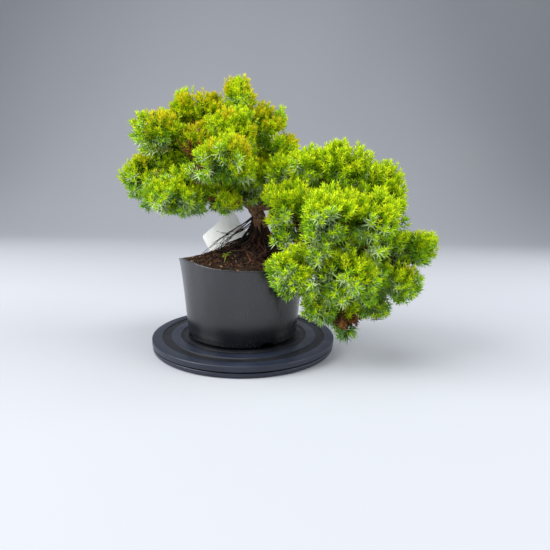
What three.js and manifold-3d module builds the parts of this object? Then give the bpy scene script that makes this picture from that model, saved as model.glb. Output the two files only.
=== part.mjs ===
// A potted dwarf juniper: a short trunk on a mound of surface roots, which forks into a rounded head on
// the left and a fan of foliage that hangs forward on the right, in a cut-down nursery pot on a
// two-disc turntable. Millimetres, +Z up, -Y towards the front. The origin is the centre of the
// turntable's underside.

import * as THREE from "three";
import { mergeVertices } from "three/addons/utils/BufferGeometryUtils.js";
import Module from "manifold-3d";

const wasm = await Module();
wasm.setup();

// --- driving dimensions ------------------------------------------------------------------------

const GAP = 0.4; // clearance between neighbouring solids

const STAND_RADIUS = 100;
const BASE_DISC_TOP = 5;
const TOP_DISC_UNDER = 6.2;
const STAND_HEIGHT = 12;
const RING_STEP = 0.9; // depth of the rings pressed into the top disc
const RING_RADII = [89.5, 79.5, 69.3];

const POT_CENTRE = { x: -1.9, y: 3 }; // the pot stands a little off the turntable's centre
const POT_WALL = 1.6;
const POT_FOOT_RADIUS = 60;
const POT_CHAMFER = 2.4;
const POT_TAPER = 0.092; // radius gained per millimetre of height
const POT_FLOOR_Z = STAND_HEIGHT - RING_STEP + GAP;
const RIM_Z = 92.3; // height of the sawn rim at the front
const RIM_LIFT = { height: 6, angle: Math.PI * 1.18, width: 0.5 }; // the saw cut runs higher at the left
const RIM_FLARE = { reach: 3.8, depth: 28, angle: Math.PI * 0.98, width: 0.26 }; // the cut wall springs out
const NOTCH = { count: 4, first: Math.PI * 1.66, width: 12.5, height: 4.5, depth: 9, overlap: 0.5 };

const MOUND = { x: 15, y: 0, apex: 123, pad: 116, power: 1.4 };
const SOIL_BELOW_RIM = 2;
const SOIL_RINGS = 4;

const LABEL = {
  width: 57,
  length: 46,
  thick: 1,
  corner: 3.5,
  lean: 0.63,
  yaw: -0.54,
  top: [-35.4, 37, 131.2],
};

// The surface roots: where they leave the trunk, and the mean and the variation of their measures.
const ROOTS = { count: 5, x: 15, y: 0, z: 125, start: 9, turn: 0.4, sink: 0.4, fall: 5 };
const ROOT_LENGTH = { mean: 34, vary: 9 };
const ROOT_THICKNESS = { mean: 3, vary: 0.6, thinning: 0.62 };
const ROOT_SHARES = [0, 0.3, 0.55, 0.8, 1];

const ROUND = 32; // sectors of the turned pieces
const TRUNK_SIDES = 12;
const LIMB_SIDES = 6;
const ROOT_SIDES = 7;
const LIMB_STEP = 12; // spacing of a limb's rings
const PATH_SAMPLES = { all: 60, every: 6, least: 8 }; // of a bough's path, and how many of them are kept
const CORNER_STEPS = 4;
const LOBES = { count: 9, sharpness: 9, body: 0.87, height: 0.2 }; // the clubs that stand out of a mass
const MEETING_DISTANCE = 90; // masses whose centres lie further apart than this don't meet
const PLAIN_WIDTH = 19; // masses whose half width is under this have fewer faces

// Flutes of the trunk: how many go round, how deep they are and where they start.
const FLUTES = [
  [3, 0.1, 0.7],
  [5, 0.05, 0],
];

// The trunk runs from its flat foot, over the root swelling, to the fork: [x, y, z, radius].
const TRUNK = [
  [15, 0, MOUND.pad + GAP, 13.5],
  [15.5, -0.5, 121, 10.5],
  [16, -1, 128, 8.6],
  [15.5, -0.5, 135, 8.4],
  [14.5, 0, 141, 6.8],
  [12, 0, 147, 6.6],
  [9.5, 0, 154, 6.8],
];

// Each bough is one tapering limb. It leaves the limb that its first point lies in, and ends where it
// enters the mass named by "into", or at a fork.
const BOUGHS = [
  {
    name: "bough_left", radii: [6.4, 3.6],
    path: [[10, 0, 151], [-7, -5, 161], [-22, -12, 172], [-31, -16, 192], [-34, -14, 212]],
  },
  {
    name: "bough_fan", radii: [6.2, 3.4],
    path: [[12, -1, 148], [26, -7, 154], [44, -18, 150], [62, -34, 140], [80, -48, 130], [95, -55, 119]],
  },
  {
    name: "bough_low_left", radii: [3.2, 1.6], into: "low_left",
    path: [[-22, -12, 172], [-45, -13, 174], [-70, -9, 177], [-106, -6, 175]],
  },
  {
    name: "bough_upper_left", radii: [3, 1.5], into: "upper_left",
    path: [[-31, -16, 192], [-50, -10, 206], [-68, -10, 220], [-88, -12, 230]],
  },
  {
    name: "bough_top_left", radii: [2.8, 1.4], into: "left_top",
    path: [[-34, -14, 211], [-45, -4, 226], [-56, 1, 240], [-66, 2, 254]],
  },
  {
    name: "bough_top", radii: [3, 1.5], into: "top",
    path: [[-34, -14, 211], [-27, -2, 226], [-14, 2, 242], [-3, 6, 265]],
  },
  {
    name: "bough_right", radii: [4, 1.8], into: "right",
    path: [[10, 2, 149], [7, 12, 164], [16, 20, 185], [28, 20, 203], [42, 20, 219]],
  },
  {
    name: "bough_back", radii: [3.4, 1.7], into: "back_mid",
    path: [[8, 2, 150], [-8, 14, 166], [-20, 22, 190], [-28, 44, 222]],
  },
  {
    name: "bough_fan_top", radii: [3.2, 1.6], into: "fan_top",
    path: [[62, -34, 140], [76, -38, 160], [88, -42, 178], [97, -48, 197]],
  },
  {
    name: "bough_fan_right", radii: [3.1, 1.6], into: "fan_top_right",
    path: [[92, -53, 122], [112, -50, 137], [126, -44, 152], [140, -38, 172]],
  },
  {
    name: "bough_fan_tip", radii: [2.8, 1.4], into: "fan_tip",
    path: [[94, -55, 120], [118, -54, 118], [140, -52, 120], [168, -50, 121]],
  },
  {
    name: "bough_fan_low", radii: [3, 1.4], into: "fan_bottom_right",
    path: [[80, -48, 130], [86, -56, 110], [98, -62, 88], [112, -62, 72], [134, -60, 61]],
  },
];

// Each mass of foliage: its centre and its half sizes along X, Y and Z.
const MASSES = [
  ["low_left", [-103, -6, 180], [27, 24, 22]],
  ["low_front", [-64, -40, 162], [38, 24, 22]],
  ["low_centre", [-20, -30, 159], [26, 20, 15]],
  ["mid_left", [-82, 6, 203], [30, 26, 23]],
  ["upper_left", [-85, -12, 230], [29, 24, 23]],
  ["left_top", [-66, 2, 254], [16, 17, 19]],
  ["top_mid", [-34, 10, 250], [23, 22, 24]],
  ["top", [-5, 6, 264], [19, 20, 21]],
  ["top_right", [17, 8, 241], [24, 21, 22]],
  ["right", [40, 20, 214], [20, 22, 24]],
  ["centre_front", [-18, -48, 200], [33, 24, 26]],
  ["mid_top", [-14, -20, 230], [28, 22, 24]],
  ["lower_right", [13, -6, 177], [26, 19, 24]],
  ["core", [-46, -2, 206], [34, 32, 32]],
  ["saddle", [38, -14, 184], [22, 22, 26]],
  ["back_low", [-45, 38, 178], [36, 26, 24]],
  ["back_left", [-72, 40, 215], [30, 26, 27]],
  ["back_mid", [-28, 44, 220], [32, 26, 30]],
  ["back_right", [12, 44, 196], [30, 24, 30]],
  ["fan_top_left", [66, -38, 192], [23, 20, 24]],
  ["fan_top", [94, -48, 194], [25, 22, 25]],
  ["fan_top_right", [137, -38, 169], [23, 24, 31]],
  ["fan_left", [41, -50, 148], [21, 20, 29]],
  ["fan_low_left", [48, -86, 98], [23, 18, 25]],
  ["fan_centre", [79, -92, 148], [25, 20, 28]],
  ["fan_right_front", [119, -84, 146], [27, 20, 26]],
  ["fan_tip", [165, -50, 120], [32, 19, 17]],
  ["fan_low_right", [153, -58, 86], [26, 22, 25]],
  ["fan_low_centre", [98, -90, 93], [30, 20, 27]],
  ["fan_bottom_left", [77, -74, 64], [20, 18, 21]],
  ["fan_bottom", [102, -66, 55], [18, 18, 16]],
  ["fan_sprig", [102, -68, 36], [6, 6, 12]],
  ["fan_bottom_right", [133, -60, 61], [20, 18, 16]],
  ["fan_core", [92, -46, 130], [50, 28, 46]],
  ["fan_back_top", [94, -8, 164], [32, 24, 30]],
  ["fan_back_mid", [126, -12, 124], [32, 24, 28]],
  ["fan_back_low", [106, -24, 84], [30, 22, 26]],
];

const COLOURS = {
  stand: [0x343a46, 0.45],
  pot: [0x3a3b3f, 0.4],
  soil: [0x2c2019, 0.95],
  label: [0xdfe2dc, 0.5],
  bark: [0x5b4030, 0.85],
  root: [0x4a3225, 0.9],
  foliage: [0x86b81f, 0.6],
};

// --- solids and meshes --------------------------------------------------------------------------

function solidFrom(geometry) {
  const bare = geometry.clone();
  bare.deleteAttribute("normal");
  bare.deleteAttribute("uv");
  const merged = mergeVertices(bare, 1e-3);
  return new wasm.Manifold(
    new wasm.Mesh({
      numProp: 3,
      vertProperties: new Float32Array(merged.attributes.position.array),
      triVerts: new Uint32Array(merged.index.array),
    }),
  );
}

function geometryFrom(solid) {
  const mesh = solid.getMesh();
  const places = new Float32Array(mesh.numVert * 3);
  for (let i = 0; i < mesh.numVert; i++)
    places.set(mesh.vertProperties.subarray(i * mesh.numProp, i * mesh.numProp + 3), i * 3);
  const geometry = new THREE.BufferGeometry();
  geometry.setAttribute("position", new THREE.BufferAttribute(places, 3));
  geometry.setIndex(new THREE.BufferAttribute(new Uint32Array(mesh.triVerts), 1));
  geometry.computeVertexNormals();
  return geometry;
}

// A cut can leave crumbs, and the piece is its largest body.
function largestBody(solid) {
  const bodies = solid.decompose();
  return bodies.reduce((best, body) => (body.volume() > best.volume() ? body : best));
}

function minus(solid, cutters) {
  return largestBody(cutters.reduce((left, cutter) => left.subtract(cutter), solid));
}

// Moves every vertex of a geometry to where "place" puts it.
function reshape(geometry, place) {
  const position = geometry.attributes.position;
  const point = new THREE.Vector3();
  for (let i = 0; i < position.count; i++) {
    point.fromBufferAttribute(position, i);
    place(point);
    position.setXYZ(i, point.x, point.y, point.z);
  }
  return geometry;
}

// A piece turned about the Z axis from a profile of [radius, z].
function turned(profile) {
  const outline = profile.map(([radius, z]) => new THREE.Vector2(radius, z));
  return new THREE.LatheGeometry(outline, ROUND).rotateX(Math.PI / 2);
}

const group = new THREE.Group();

function addMesh(name, solid, finish) {
  const [color, roughness] = COLOURS[finish];
  const material = new THREE.MeshStandardMaterial({ color, roughness, metalness: 0 });
  const mesh = new THREE.Mesh(geometryFrom(solid), material);
  mesh.name = name;
  group.add(mesh);
}

// --- turntable ----------------------------------------------------------------------------------

function standBase() {
  const hub = 30;
  return solidFrom(
    turned([
      [0, 0],
      [STAND_RADIUS - 2, 0],
      [STAND_RADIUS - 0.6, 1.4],
      [STAND_RADIUS - 0.6, BASE_DISC_TOP],
      [hub, BASE_DISC_TOP],
      [hub, TOP_DISC_UNDER - GAP],
      [0, TOP_DISC_UNDER - GAP],
    ]),
  );
}

function standTop() {
  const low = STAND_HEIGHT - RING_STEP;
  const [outer, middle, inner] = RING_RADII;
  return solidFrom(
    turned([
      [0, TOP_DISC_UNDER],
      [STAND_RADIUS, TOP_DISC_UNDER],
      [STAND_RADIUS, STAND_HEIGHT - 1],
      [STAND_RADIUS - 1, STAND_HEIGHT],
      [outer, STAND_HEIGHT],
      [outer - 0.5, low],
      [middle + 0.5, low],
      [middle, STAND_HEIGHT],
      [inner, STAND_HEIGHT],
      [inner - 0.5, low],
      [0, low],
    ]),
  );
}

// --- pot and soil -------------------------------------------------------------------------------

// A smooth swell: 1 in the direction "middle", falling to 0 over the given width.
function swell(angle, middle, width) {
  const away = Math.atan2(Math.sin(angle - middle), Math.cos(angle - middle));
  return Math.exp(-((away / width) ** 2));
}

// Height of the sawn rim in the direction "angle" from the pot's middle.
function rimHeight(angle) {
  return RIM_Z + RIM_LIFT.height * swell(angle, RIM_LIFT.angle, RIM_LIFT.width);
}

function potRadius(z) {
  return POT_FOOT_RADIUS + POT_TAPER * (z - POT_FLOOR_Z);
}

// Stretches what lies over "from" so that a piece turned to RIM_Z follows the sawn rim and its flare.
function toRim(point, from) {
  if (point.z <= from) return;
  const angle = Math.atan2(point.y, point.x);
  const share = (point.z - from) / (RIM_Z - from);
  const flare = RIM_FLARE.reach * swell(angle, RIM_FLARE.angle, RIM_FLARE.width) * share ** 4;
  point.x += Math.cos(angle) * flare;
  point.y += Math.sin(angle) * flare;
  point.z += (rimHeight(angle) - RIM_Z) * share;
}

function pot() {
  const floor = POT_FLOOR_Z + POT_WALL;
  const flareFoot = RIM_Z - RIM_FLARE.depth;
  const shell = turned([
    [0, POT_FLOOR_Z],
    [POT_FOOT_RADIUS - POT_CHAMFER, POT_FLOOR_Z],
    [potRadius(POT_FLOOR_Z + POT_CHAMFER), POT_FLOOR_Z + POT_CHAMFER],
    [potRadius(flareFoot), flareFoot],
    [potRadius(RIM_Z), RIM_Z],
    [potRadius(RIM_Z) - POT_WALL, RIM_Z],
    [potRadius(flareFoot) - POT_WALL, flareFoot],
    [potRadius(floor + POT_CHAMFER) - POT_WALL, floor + POT_CHAMFER],
    [POT_FOOT_RADIUS - POT_CHAMFER - POT_WALL, floor],
    [0, floor],
  ]);
  reshape(shell, (point) => toRim(point, floor + POT_CHAMFER));
  const notches = Array.from({ length: NOTCH.count }, (_, i) => {
    const angle = NOTCH.first + (i * 2 * Math.PI) / NOTCH.count;
    const cutter = new THREE.BoxGeometry(NOTCH.depth, NOTCH.width, NOTCH.height);
    cutter.translate(POT_FOOT_RADIUS, 0, POT_FLOOR_Z + NOTCH.height / 2 - NOTCH.overlap).rotateZ(angle);
    return solidFrom(cutter);
  });
  return minus(solidFrom(shell), notches).translate([POT_CENTRE.x, POT_CENTRE.y, 0]);
}

// Height of the soil: a mound that falls from a flat pad under the trunk to the pot's rim.
function groundHeight(x, y) {
  const angle = Math.atan2(y - POT_CENTRE.y, x - POT_CENTRE.x);
  const edge = rimHeight(angle) - SOIL_BELOW_RIM;
  const out = Math.hypot(x - MOUND.x, y - MOUND.y);
  const share = Math.hypot(x - POT_CENTRE.x, y - POT_CENTRE.y) / potRadius(RIM_Z);
  const reach = out / (out + potRadius(RIM_Z) * Math.max(0, 1 - share));
  const cone = edge + (MOUND.apex - edge) * Math.max(0, 1 - reach) ** MOUND.power;
  return Math.min(cone, MOUND.pad);
}

function soil() {
  const floor = POT_FLOOR_Z + POT_WALL + GAP;
  const inset = POT_WALL + GAP;
  const low = floor + POT_CHAMFER;
  const top = RIM_Z - SOIL_BELOW_RIM;
  const profile = [
    [0, floor],
    [POT_FOOT_RADIUS - POT_CHAMFER - inset, floor],
    [potRadius(low) - inset, low],
    [potRadius(top) - inset, top],
  ];
  for (let i = SOIL_RINGS - 1; i >= 0; i--) profile.push([((potRadius(top) - inset) * i) / SOIL_RINGS, top]);
  const filled = turned(profile).translate(POT_CENTRE.x, POT_CENTRE.y, 0);
  return solidFrom(
    reshape(filled, (point) => {
      if (point.z > top - GAP) point.z = groundHeight(point.x, point.y);
    }),
  );
}

// A blank nursery label pushed into the soil behind the trunk. "grow" makes the slot that it stands in.
function label(grow) {
  const { width, length, thick, corner, lean, yaw, top } = LABEL;
  const halfWidth = width / 2 + grow;
  const up = grow;
  const down = -length - grow;
  const shape = new THREE.Shape();
  shape.moveTo(-halfWidth, down);
  shape.lineTo(halfWidth, down);
  shape.lineTo(halfWidth, up - corner);
  shape.absarc(halfWidth - corner, up - corner, corner, 0, Math.PI / 2, false);
  shape.lineTo(corner - halfWidth, up);
  shape.absarc(corner - halfWidth, up - corner, corner, Math.PI / 2, Math.PI, false);
  const plate = new THREE.ExtrudeGeometry(shape, {
    depth: thick + 2 * grow,
    bevelEnabled: false,
    curveSegments: CORNER_STEPS,
  });
  plate.translate(0, 0, -thick / 2 - grow).rotateX(Math.PI / 2).rotateY(-lean).rotateZ(yaw);
  return solidFrom(plate.translate(...top));
}

// --- trunk, boughs and roots --------------------------------------------------------------------

// A tapering limb along a smooth curve: a closed cylinder whose rings are set square to the path.
// "radiusAt" gives the radius at a share of the length, and "grow" fattens and lengthens the limb.
function limb(points, radiusAt, sides, grow = 0) {
  const curve = new THREE.CatmullRomCurve3(points.map(([x, y, z]) => new THREE.Vector3(x, y, z)));
  const steps = Math.max(2, Math.round(curve.getLength() / LIMB_STEP));
  const frames = curve.computeFrenetFrames(steps, false);
  const cylinder = new THREE.CylinderGeometry(1, 1, 1, sides, steps);
  reshape(cylinder, (point) => {
    const i = Math.round((0.5 - point.y) * steps);
    const onAxis = Math.hypot(point.x, point.z) < 0.5;
    const radius = onAxis ? 0 : radiusAt(i / steps) + grow;
    const [across, side] = [point.z, point.x];
    curve.getPointAt(i / steps, point);
    point.addScaledVector(frames.normals[i], across * radius);
    point.addScaledVector(frames.binormals[i], side * radius);
    if (i === 0) point.addScaledVector(frames.tangents[0], -grow);
    if (i === steps) point.addScaledVector(frames.tangents[steps], grow);
  });
  const solid = solidFrom(cylinder);
  return solid.volume() < 0 ? solidFrom(flipped(cylinder)) : solid;
}

function flipped(geometry) {
  const index = geometry.index.array;
  for (let i = 0; i < index.length; i += 3) [index[i + 1], index[i + 2]] = [index[i + 2], index[i + 1]];
  return geometry;
}

// The trunk is built from level rings, so that its foot is a flat cut.
function trunk(grow = 0) {
  const rings = TRUNK.length - 1;
  const cylinder = new THREE.CylinderGeometry(1, 1, 1, TRUNK_SIDES, rings);
  reshape(cylinder, (point) => {
    const i = Math.round((point.y + 0.5) * rings);
    const [x, y, z, radius] = TRUNK[i];
    const angle = Math.atan2(point.x, point.z);
    const onAxis = Math.hypot(point.x, point.z) < 0.5;
    let fluted = 1;
    for (const [count, depth, start] of FLUTES) fluted += depth * Math.sin(count * angle + start);
    const reach = onAxis ? 0 : radius * fluted + grow;
    const ends = (i === rings ? grow : 0) - (i === 0 ? grow : 0);
    point.set(x + Math.sin(angle) * reach, y - Math.cos(angle) * reach, z + ends);
  });
  return solidFrom(cylinder);
}

function boughPoints(bough) {
  if (!bough.into) return bough.path;
  const curve = new THREE.CatmullRomCurve3(bough.path.map(([x, y, z]) => new THREE.Vector3(x, y, z)));
  const samples = curve.getSpacedPoints(PATH_SAMPLES.all);
  const mass = masses.find((one) => one.name === bough.into);
  const end = samples.findIndex((point) => insideMass(mass, point, bough.radii[1] + GAP));
  const kept = samples.slice(0, Math.max(end, PATH_SAMPLES.least));
  return kept.filter((_, i) => i % PATH_SAMPLES.every === 0 || i === kept.length - 1).map((p) => p.toArray());
}

function boughSolid(bough, grow) {
  const [base, tip] = bough.radii;
  return limb(boughPoints(bough), (share) => base + (tip - base) * share, LIMB_SIDES, grow);
}

// Surface roots leave the swelling at uneven turns, drop to the mound and run along it.
function rootPoints(i) {
  const turn = ((i + 0.35 * Math.sin(2.3 * i)) / ROOTS.count) * 2 * Math.PI + ROOTS.turn;
  const length = ROOT_LENGTH.mean + ROOT_LENGTH.vary * Math.sin(1.7 * i + 0.6);
  return ROOT_SHARES.map((share) => {
    const out = ROOTS.start + share * length;
    const bend = turn + 0.25 * share * Math.sin(2.9 * i);
    const x = ROOTS.x + out * Math.cos(bend);
    const y = ROOTS.y + out * Math.sin(bend);
    const drop = Math.exp(-ROOTS.fall * share);
    const ground = groundHeight(x, y) + ROOTS.sink;
    return [x, y, ground + (ROOTS.z - ground) * drop];
  });
}

function rootSolid(i, grow) {
  const base = ROOT_THICKNESS.mean + ROOT_THICKNESS.vary * Math.sin(2.1 * i);
  return limb(rootPoints(i), (share) => base * (1 - ROOT_THICKNESS.thinning * share), ROOT_SIDES, grow);
}

// --- foliage ------------------------------------------------------------------------------------

function seeded(seed) {
  let state = seed * 2654435761 + 12345;
  return () => {
    state = (Math.imul(state, 1664525) + 1013904223) >>> 0;
    return state / 4294967296;
  };
}

// Each mass has its own lobes, where clubs of shoots stand out of it.
function massFrom([name, centre, half], index) {
  const random = seeded(index + 1);
  const lobes = Array.from({ length: LOBES.count }, () => {
    const z = random() * 2 - 0.9;
    const turn = random() * 2 * Math.PI;
    const flat = Math.sqrt(Math.max(0, 1 - z * z));
    return new THREE.Vector3(flat * Math.cos(turn), flat * Math.sin(turn), z).normalize();
  });
  return { name, centre: new THREE.Vector3(...centre), half: new THREE.Vector3(...half), lobes };
}

function ellipsoidReach(mass, direction) {
  const { half } = mass;
  return 1 / Math.hypot(direction.x / half.x, direction.y / half.y, direction.z / half.z);
}

// Where two masses meet, a plane parts them, nearer to the smaller one.
function partingDistance(mass, other, towards, distance) {
  const mine = ellipsoidReach(mass, towards);
  const theirs = ellipsoidReach(other, towards);
  return (distance * distance + mine * mine - theirs * theirs) / (2 * distance) - GAP / 2;
}

function massReach(mass, direction) {
  const lobe = Math.max(...mass.lobes.map((one) => Math.exp(-LOBES.sharpness * (1 - one.dot(direction)))));
  let reach = ellipsoidReach(mass, direction) * (LOBES.body + LOBES.height * lobe);
  for (const { towards, distance } of mass.partings) {
    const along = direction.dot(towards);
    if (along > 0) reach = Math.min(reach, distance / along);
  }
  return reach;
}

function insideMass(mass, point, margin) {
  const out = point.clone().sub(mass.centre);
  const distance = out.length();
  return distance < 1e-6 || distance < massReach(mass, out.normalize()) + margin;
}

// The masses inside and behind the crown, and the smallest ones, have fewer faces.
function isPlain({ name, half }) {
  return /core|back|saddle/.test(name) || half.x < PLAIN_WIDTH;
}

function massSolid(mass) {
  const sphere = new THREE.IcosahedronGeometry(1, isPlain(mass) ? 1 : 2);
  return solidFrom(
    reshape(sphere, (point) => {
      const direction = point.clone().normalize();
      point.copy(mass.centre).addScaledVector(direction, massReach(mass, direction));
    }),
  );
}

const masses = MASSES.map(massFrom);
for (const mass of masses)
  mass.partings = masses
    .filter((other) => other !== mass)
    .map((other) => {
      const towards = other.centre.clone().sub(mass.centre);
      const apart = towards.length();
      towards.normalize();
      return { towards, apart, distance: partingDistance(mass, other, towards, apart) };
    })
    .filter(({ apart, distance }) => apart < MEETING_DISTANCE && distance > 0);

// --- assembly -----------------------------------------------------------------------------------

addMesh("stand_base", standBase(), "stand");
addMesh("stand_top", standTop(), "stand");
addMesh("pot", pot(), "pot");
addMesh("label", label(0), "label");

const trunkCutter = trunk(GAP);
addMesh("trunk", trunk(), "bark");

const woodCutters = [trunkCutter];
for (const bough of BOUGHS) {
  addMesh(bough.name, minus(boughSolid(bough, 0), woodCutters), "bark");
  woodCutters.push(boughSolid(bough, GAP));
}

const soilCutters = [label(GAP)];
for (let i = 0; i < ROOTS.count; i++) {
  addMesh(`root_${i + 1}`, minus(rootSolid(i, 0), [trunkCutter, ...soilCutters]), "root");
  soilCutters.push(rootSolid(i, GAP));
}
addMesh("soil", minus(soil(), soilCutters), "soil");

for (const mass of masses) addMesh(`foliage_${mass.name}`, minus(massSolid(mass), woodCutters), "foliage");

export default group;
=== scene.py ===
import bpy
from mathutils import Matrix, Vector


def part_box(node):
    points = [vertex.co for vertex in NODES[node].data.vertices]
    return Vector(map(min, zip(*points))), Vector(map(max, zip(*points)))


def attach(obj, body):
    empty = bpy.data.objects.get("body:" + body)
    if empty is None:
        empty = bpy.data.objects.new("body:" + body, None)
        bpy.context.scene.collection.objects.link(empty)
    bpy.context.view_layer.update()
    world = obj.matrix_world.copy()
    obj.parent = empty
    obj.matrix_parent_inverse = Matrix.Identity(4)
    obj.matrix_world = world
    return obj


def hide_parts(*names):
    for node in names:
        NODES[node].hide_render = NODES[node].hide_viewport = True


bl_info = {
    "name": "Potted Juniper",
    "version": (1, 0, 0),
    "blender": (4, 5, 0),
    "location": "3D View > Sidebar > Juniper",
    "description": "Grows a dwarf juniper on its frame, in a cut-down nursery pot on a turntable",
    "category": "Add Mesh",
}

import itertools
import math

import bmesh
import bpy
import numpy as np
from mathutils import Vector
from mathutils.bvhtree import BVHTree

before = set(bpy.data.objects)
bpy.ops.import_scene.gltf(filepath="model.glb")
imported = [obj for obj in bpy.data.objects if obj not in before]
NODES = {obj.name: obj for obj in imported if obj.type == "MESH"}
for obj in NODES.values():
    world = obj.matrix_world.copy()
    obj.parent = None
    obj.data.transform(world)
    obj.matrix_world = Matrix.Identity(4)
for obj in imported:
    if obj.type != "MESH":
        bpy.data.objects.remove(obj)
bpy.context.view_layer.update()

MM = 0.001
UP = np.array([0.0, 0.0, 1.0])
TURN = 2 * math.pi

NEAR = 0.5 * MM  # corners this close to a level count as being at it
PINHOLE = 0.2 * MM  # a turned piece closes on a hole of this radius
LIMB_SAMPLES = 4000  # surface points that a limb's middle line is found from

BOUGHS = sorted(name for name in NODES if name.startswith("bough_"))
ROOTS = sorted(name for name in NODES if name.startswith("root_"))
MASSES = sorted(name for name in NODES if name.startswith("foliage_"))


# --- reading the frame ---------------------------------------------------------------------------


def corners_of(name):
    """The corner points of a frame node, in metres."""
    mesh = NODES[name].data
    flat = np.empty(len(mesh.vertices) * 3, np.float32)
    mesh.vertices.foreach_get("co", flat)
    return flat.reshape(-1, 3).astype(float)


def triangles_of(name):
    """The triangles of a frame node, as rows of three corner numbers."""
    mesh = NODES[name].data
    mesh.calc_loop_triangles()
    flat = np.empty(len(mesh.loop_triangles) * 3, np.int32)
    mesh.loop_triangles.foreach_get("vertices", flat)
    return flat.reshape(-1, 3)


def surface_points(name, count, rng):
    """Points spread evenly over a node's surface, and the outward normal at each."""
    triangles = corners_of(name)[triangles_of(name)]
    across = np.cross(triangles[:, 1] - triangles[:, 0], triangles[:, 2] - triangles[:, 0])
    area = np.linalg.norm(across, axis=1)
    chosen = rng.choice(len(area), count, p=area / area.sum())
    u, v = rng.random((2, count, 1))
    folded = u + v > 1
    u, v = np.where(folded, 1 - u, u), np.where(folded, 1 - v, v)
    a, b, c = triangles[chosen].transpose(1, 0, 2)
    return a + (b - a) * u + (c - a) * v, across[chosen] / area[chosen, None]


def centreline(name, steps, rng):
    """A limb's middle line and its radius along it, from the thick end to the thin one."""
    points, _ = surface_points(name, LIMB_SAMPLES, rng)
    middle = points.mean(axis=0)
    along = np.linalg.svd(points - middle, full_matrices=False)[2][0]
    share = (points - middle) @ along
    low, high = share.min(), share.max()
    share = (share - low) / (high - low)
    curve = [np.polynomial.Polynomial.fit(share, points[:, i], 4) for i in range(3)]
    on_curve = np.stack([axis(share) for axis in curve], axis=1)
    slope = unit(np.stack([axis.deriv()(share) for axis in curve], axis=1))
    # a limb cut at a slant shows an ellipse, whose mean reach is more than the limb's radius
    slant = 2 / (1 + 1 / np.abs(slope @ along).clip(0.2))
    reach = np.linalg.norm(points - on_curve, axis=1) * slant
    radius = np.polynomial.Polynomial.fit(share, reach, 2)
    t = np.linspace(0, 1, steps)
    line = np.stack([axis(t) for axis in curve], axis=1)
    radii = radius(t).clip(0.5 * MM)
    return (line, radii) if radii[0] > radii[-1] else (line[::-1], radii[::-1])


# --- arithmetic ----------------------------------------------------------------------------------


def unit(vectors):
    """The same directions with length 1."""
    return vectors / np.linalg.norm(vectors, axis=-1, keepdims=True).clip(1e-12)


# Large odd numbers that scramble a cell's place into a number with no pattern.
SCRAMBLE = (73856093, 19349663, 83492791, 2654435761, 1274126177)


def smooth_noise(points, seed):
    """Noise from -1 to 1 that changes smoothly over one unit."""
    for_x, for_y, for_z, for_seed, again = SCRAMBLE
    cell = np.floor(points).astype(np.int64)
    part = points - cell
    part = part * part * (3 - 2 * part)
    total = np.zeros(points.shape[:-1])
    for corner in itertools.product((0, 1), repeat=3):
        at = cell + np.array(corner)
        mixed = at[..., 0] * for_x ^ at[..., 1] * for_y ^ at[..., 2] * for_z ^ seed * for_seed
        mixed = (mixed ^ (mixed >> 13)) * again
        value = ((mixed ^ (mixed >> 16)) & 0xFFFF) / 32767.5 - 1
        weight = np.where(corner, part, 1 - part).prod(axis=-1)
        total += value * weight
    return total


def furrow(noise, width):
    """1 along the thin lines where the noise crosses zero, falling to 0 beside them."""
    return (1 - np.abs(noise) / width).clip(0, 1) ** 2


def bend_through(start, control, end, t):
    """Points and directions along curves that leave start, lean to control and reach end."""
    t = t[..., None]
    point = (1 - t) ** 2 * start + 2 * t * (1 - t) * control + t**2 * end
    slope = 2 * (1 - t) * (control - start) + 2 * t * (end - control)
    return point, unit(slope)


def square_frame(direction, reference):
    """Two directions that are square to each direction and to each other."""
    first = unit(reference - (reference * direction).sum(axis=-1, keepdims=True) * direction)
    return first, np.cross(direction, first)


# --- making meshes -------------------------------------------------------------------------------


def new_piece(name, corners, faces, materials, dealt=None, smooth=True, **attributes):
    """A mesh object from arrays: faces all have one number of sides, and dealt gives each its material."""
    mesh = bpy.data.meshes.new(name)
    mesh.vertices.add(len(corners))
    mesh.vertices.foreach_set("co", np.ascontiguousarray(corners, np.float32).ravel())
    mesh.loops.add(faces.size)
    mesh.loops.foreach_set("vertex_index", np.ascontiguousarray(faces, np.int32).ravel())
    mesh.polygons.add(len(faces))
    mesh.polygons.foreach_set("loop_start", np.arange(0, faces.size, faces.shape[1], dtype=np.int32))
    for material in materials:
        mesh.materials.append(material)
    if dealt is not None:
        mesh.polygons.foreach_set("material_index", np.ascontiguousarray(dealt, np.int32))
    mesh.polygons.foreach_set("use_smooth", np.full(len(faces), smooth))
    for key, values in attributes.items():
        layer = mesh.attributes.new(key, "FLOAT", "POINT")
        layer.data.foreach_set("value", np.ascontiguousarray(values, np.float32))
    mesh.update(calc_edges=True)
    piece = bpy.data.objects.new(name, mesh)
    bpy.context.scene.collection.objects.link(piece)
    return piece


def grid_faces(rows, columns, closed=True):
    """Four-sided faces over a grid of points whose rows close on themselves."""
    row = np.arange(rows - 1)[:, None] * columns
    column = np.arange(columns if closed else columns - 1)[None, :]
    following = (column + 1) % columns
    corners = [row + column, row + following, row + columns + following, row + columns + column]
    return np.stack(corners, axis=-1).reshape(-1, 4)


def turned(profile, sectors):
    """The corners of a piece turned about Z: profile is rows of radius and height."""
    angle = np.arange(sectors) * TURN / sectors
    radius, height = np.asarray(profile, float).T
    ring = np.stack([np.cos(angle), np.sin(angle)], axis=1)
    corners = np.empty((len(radius), sectors, 3))
    corners[:, :, :2] = radius[:, None, None] * ring
    corners[:, :, 2] = height[:, None]
    return corners


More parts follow.
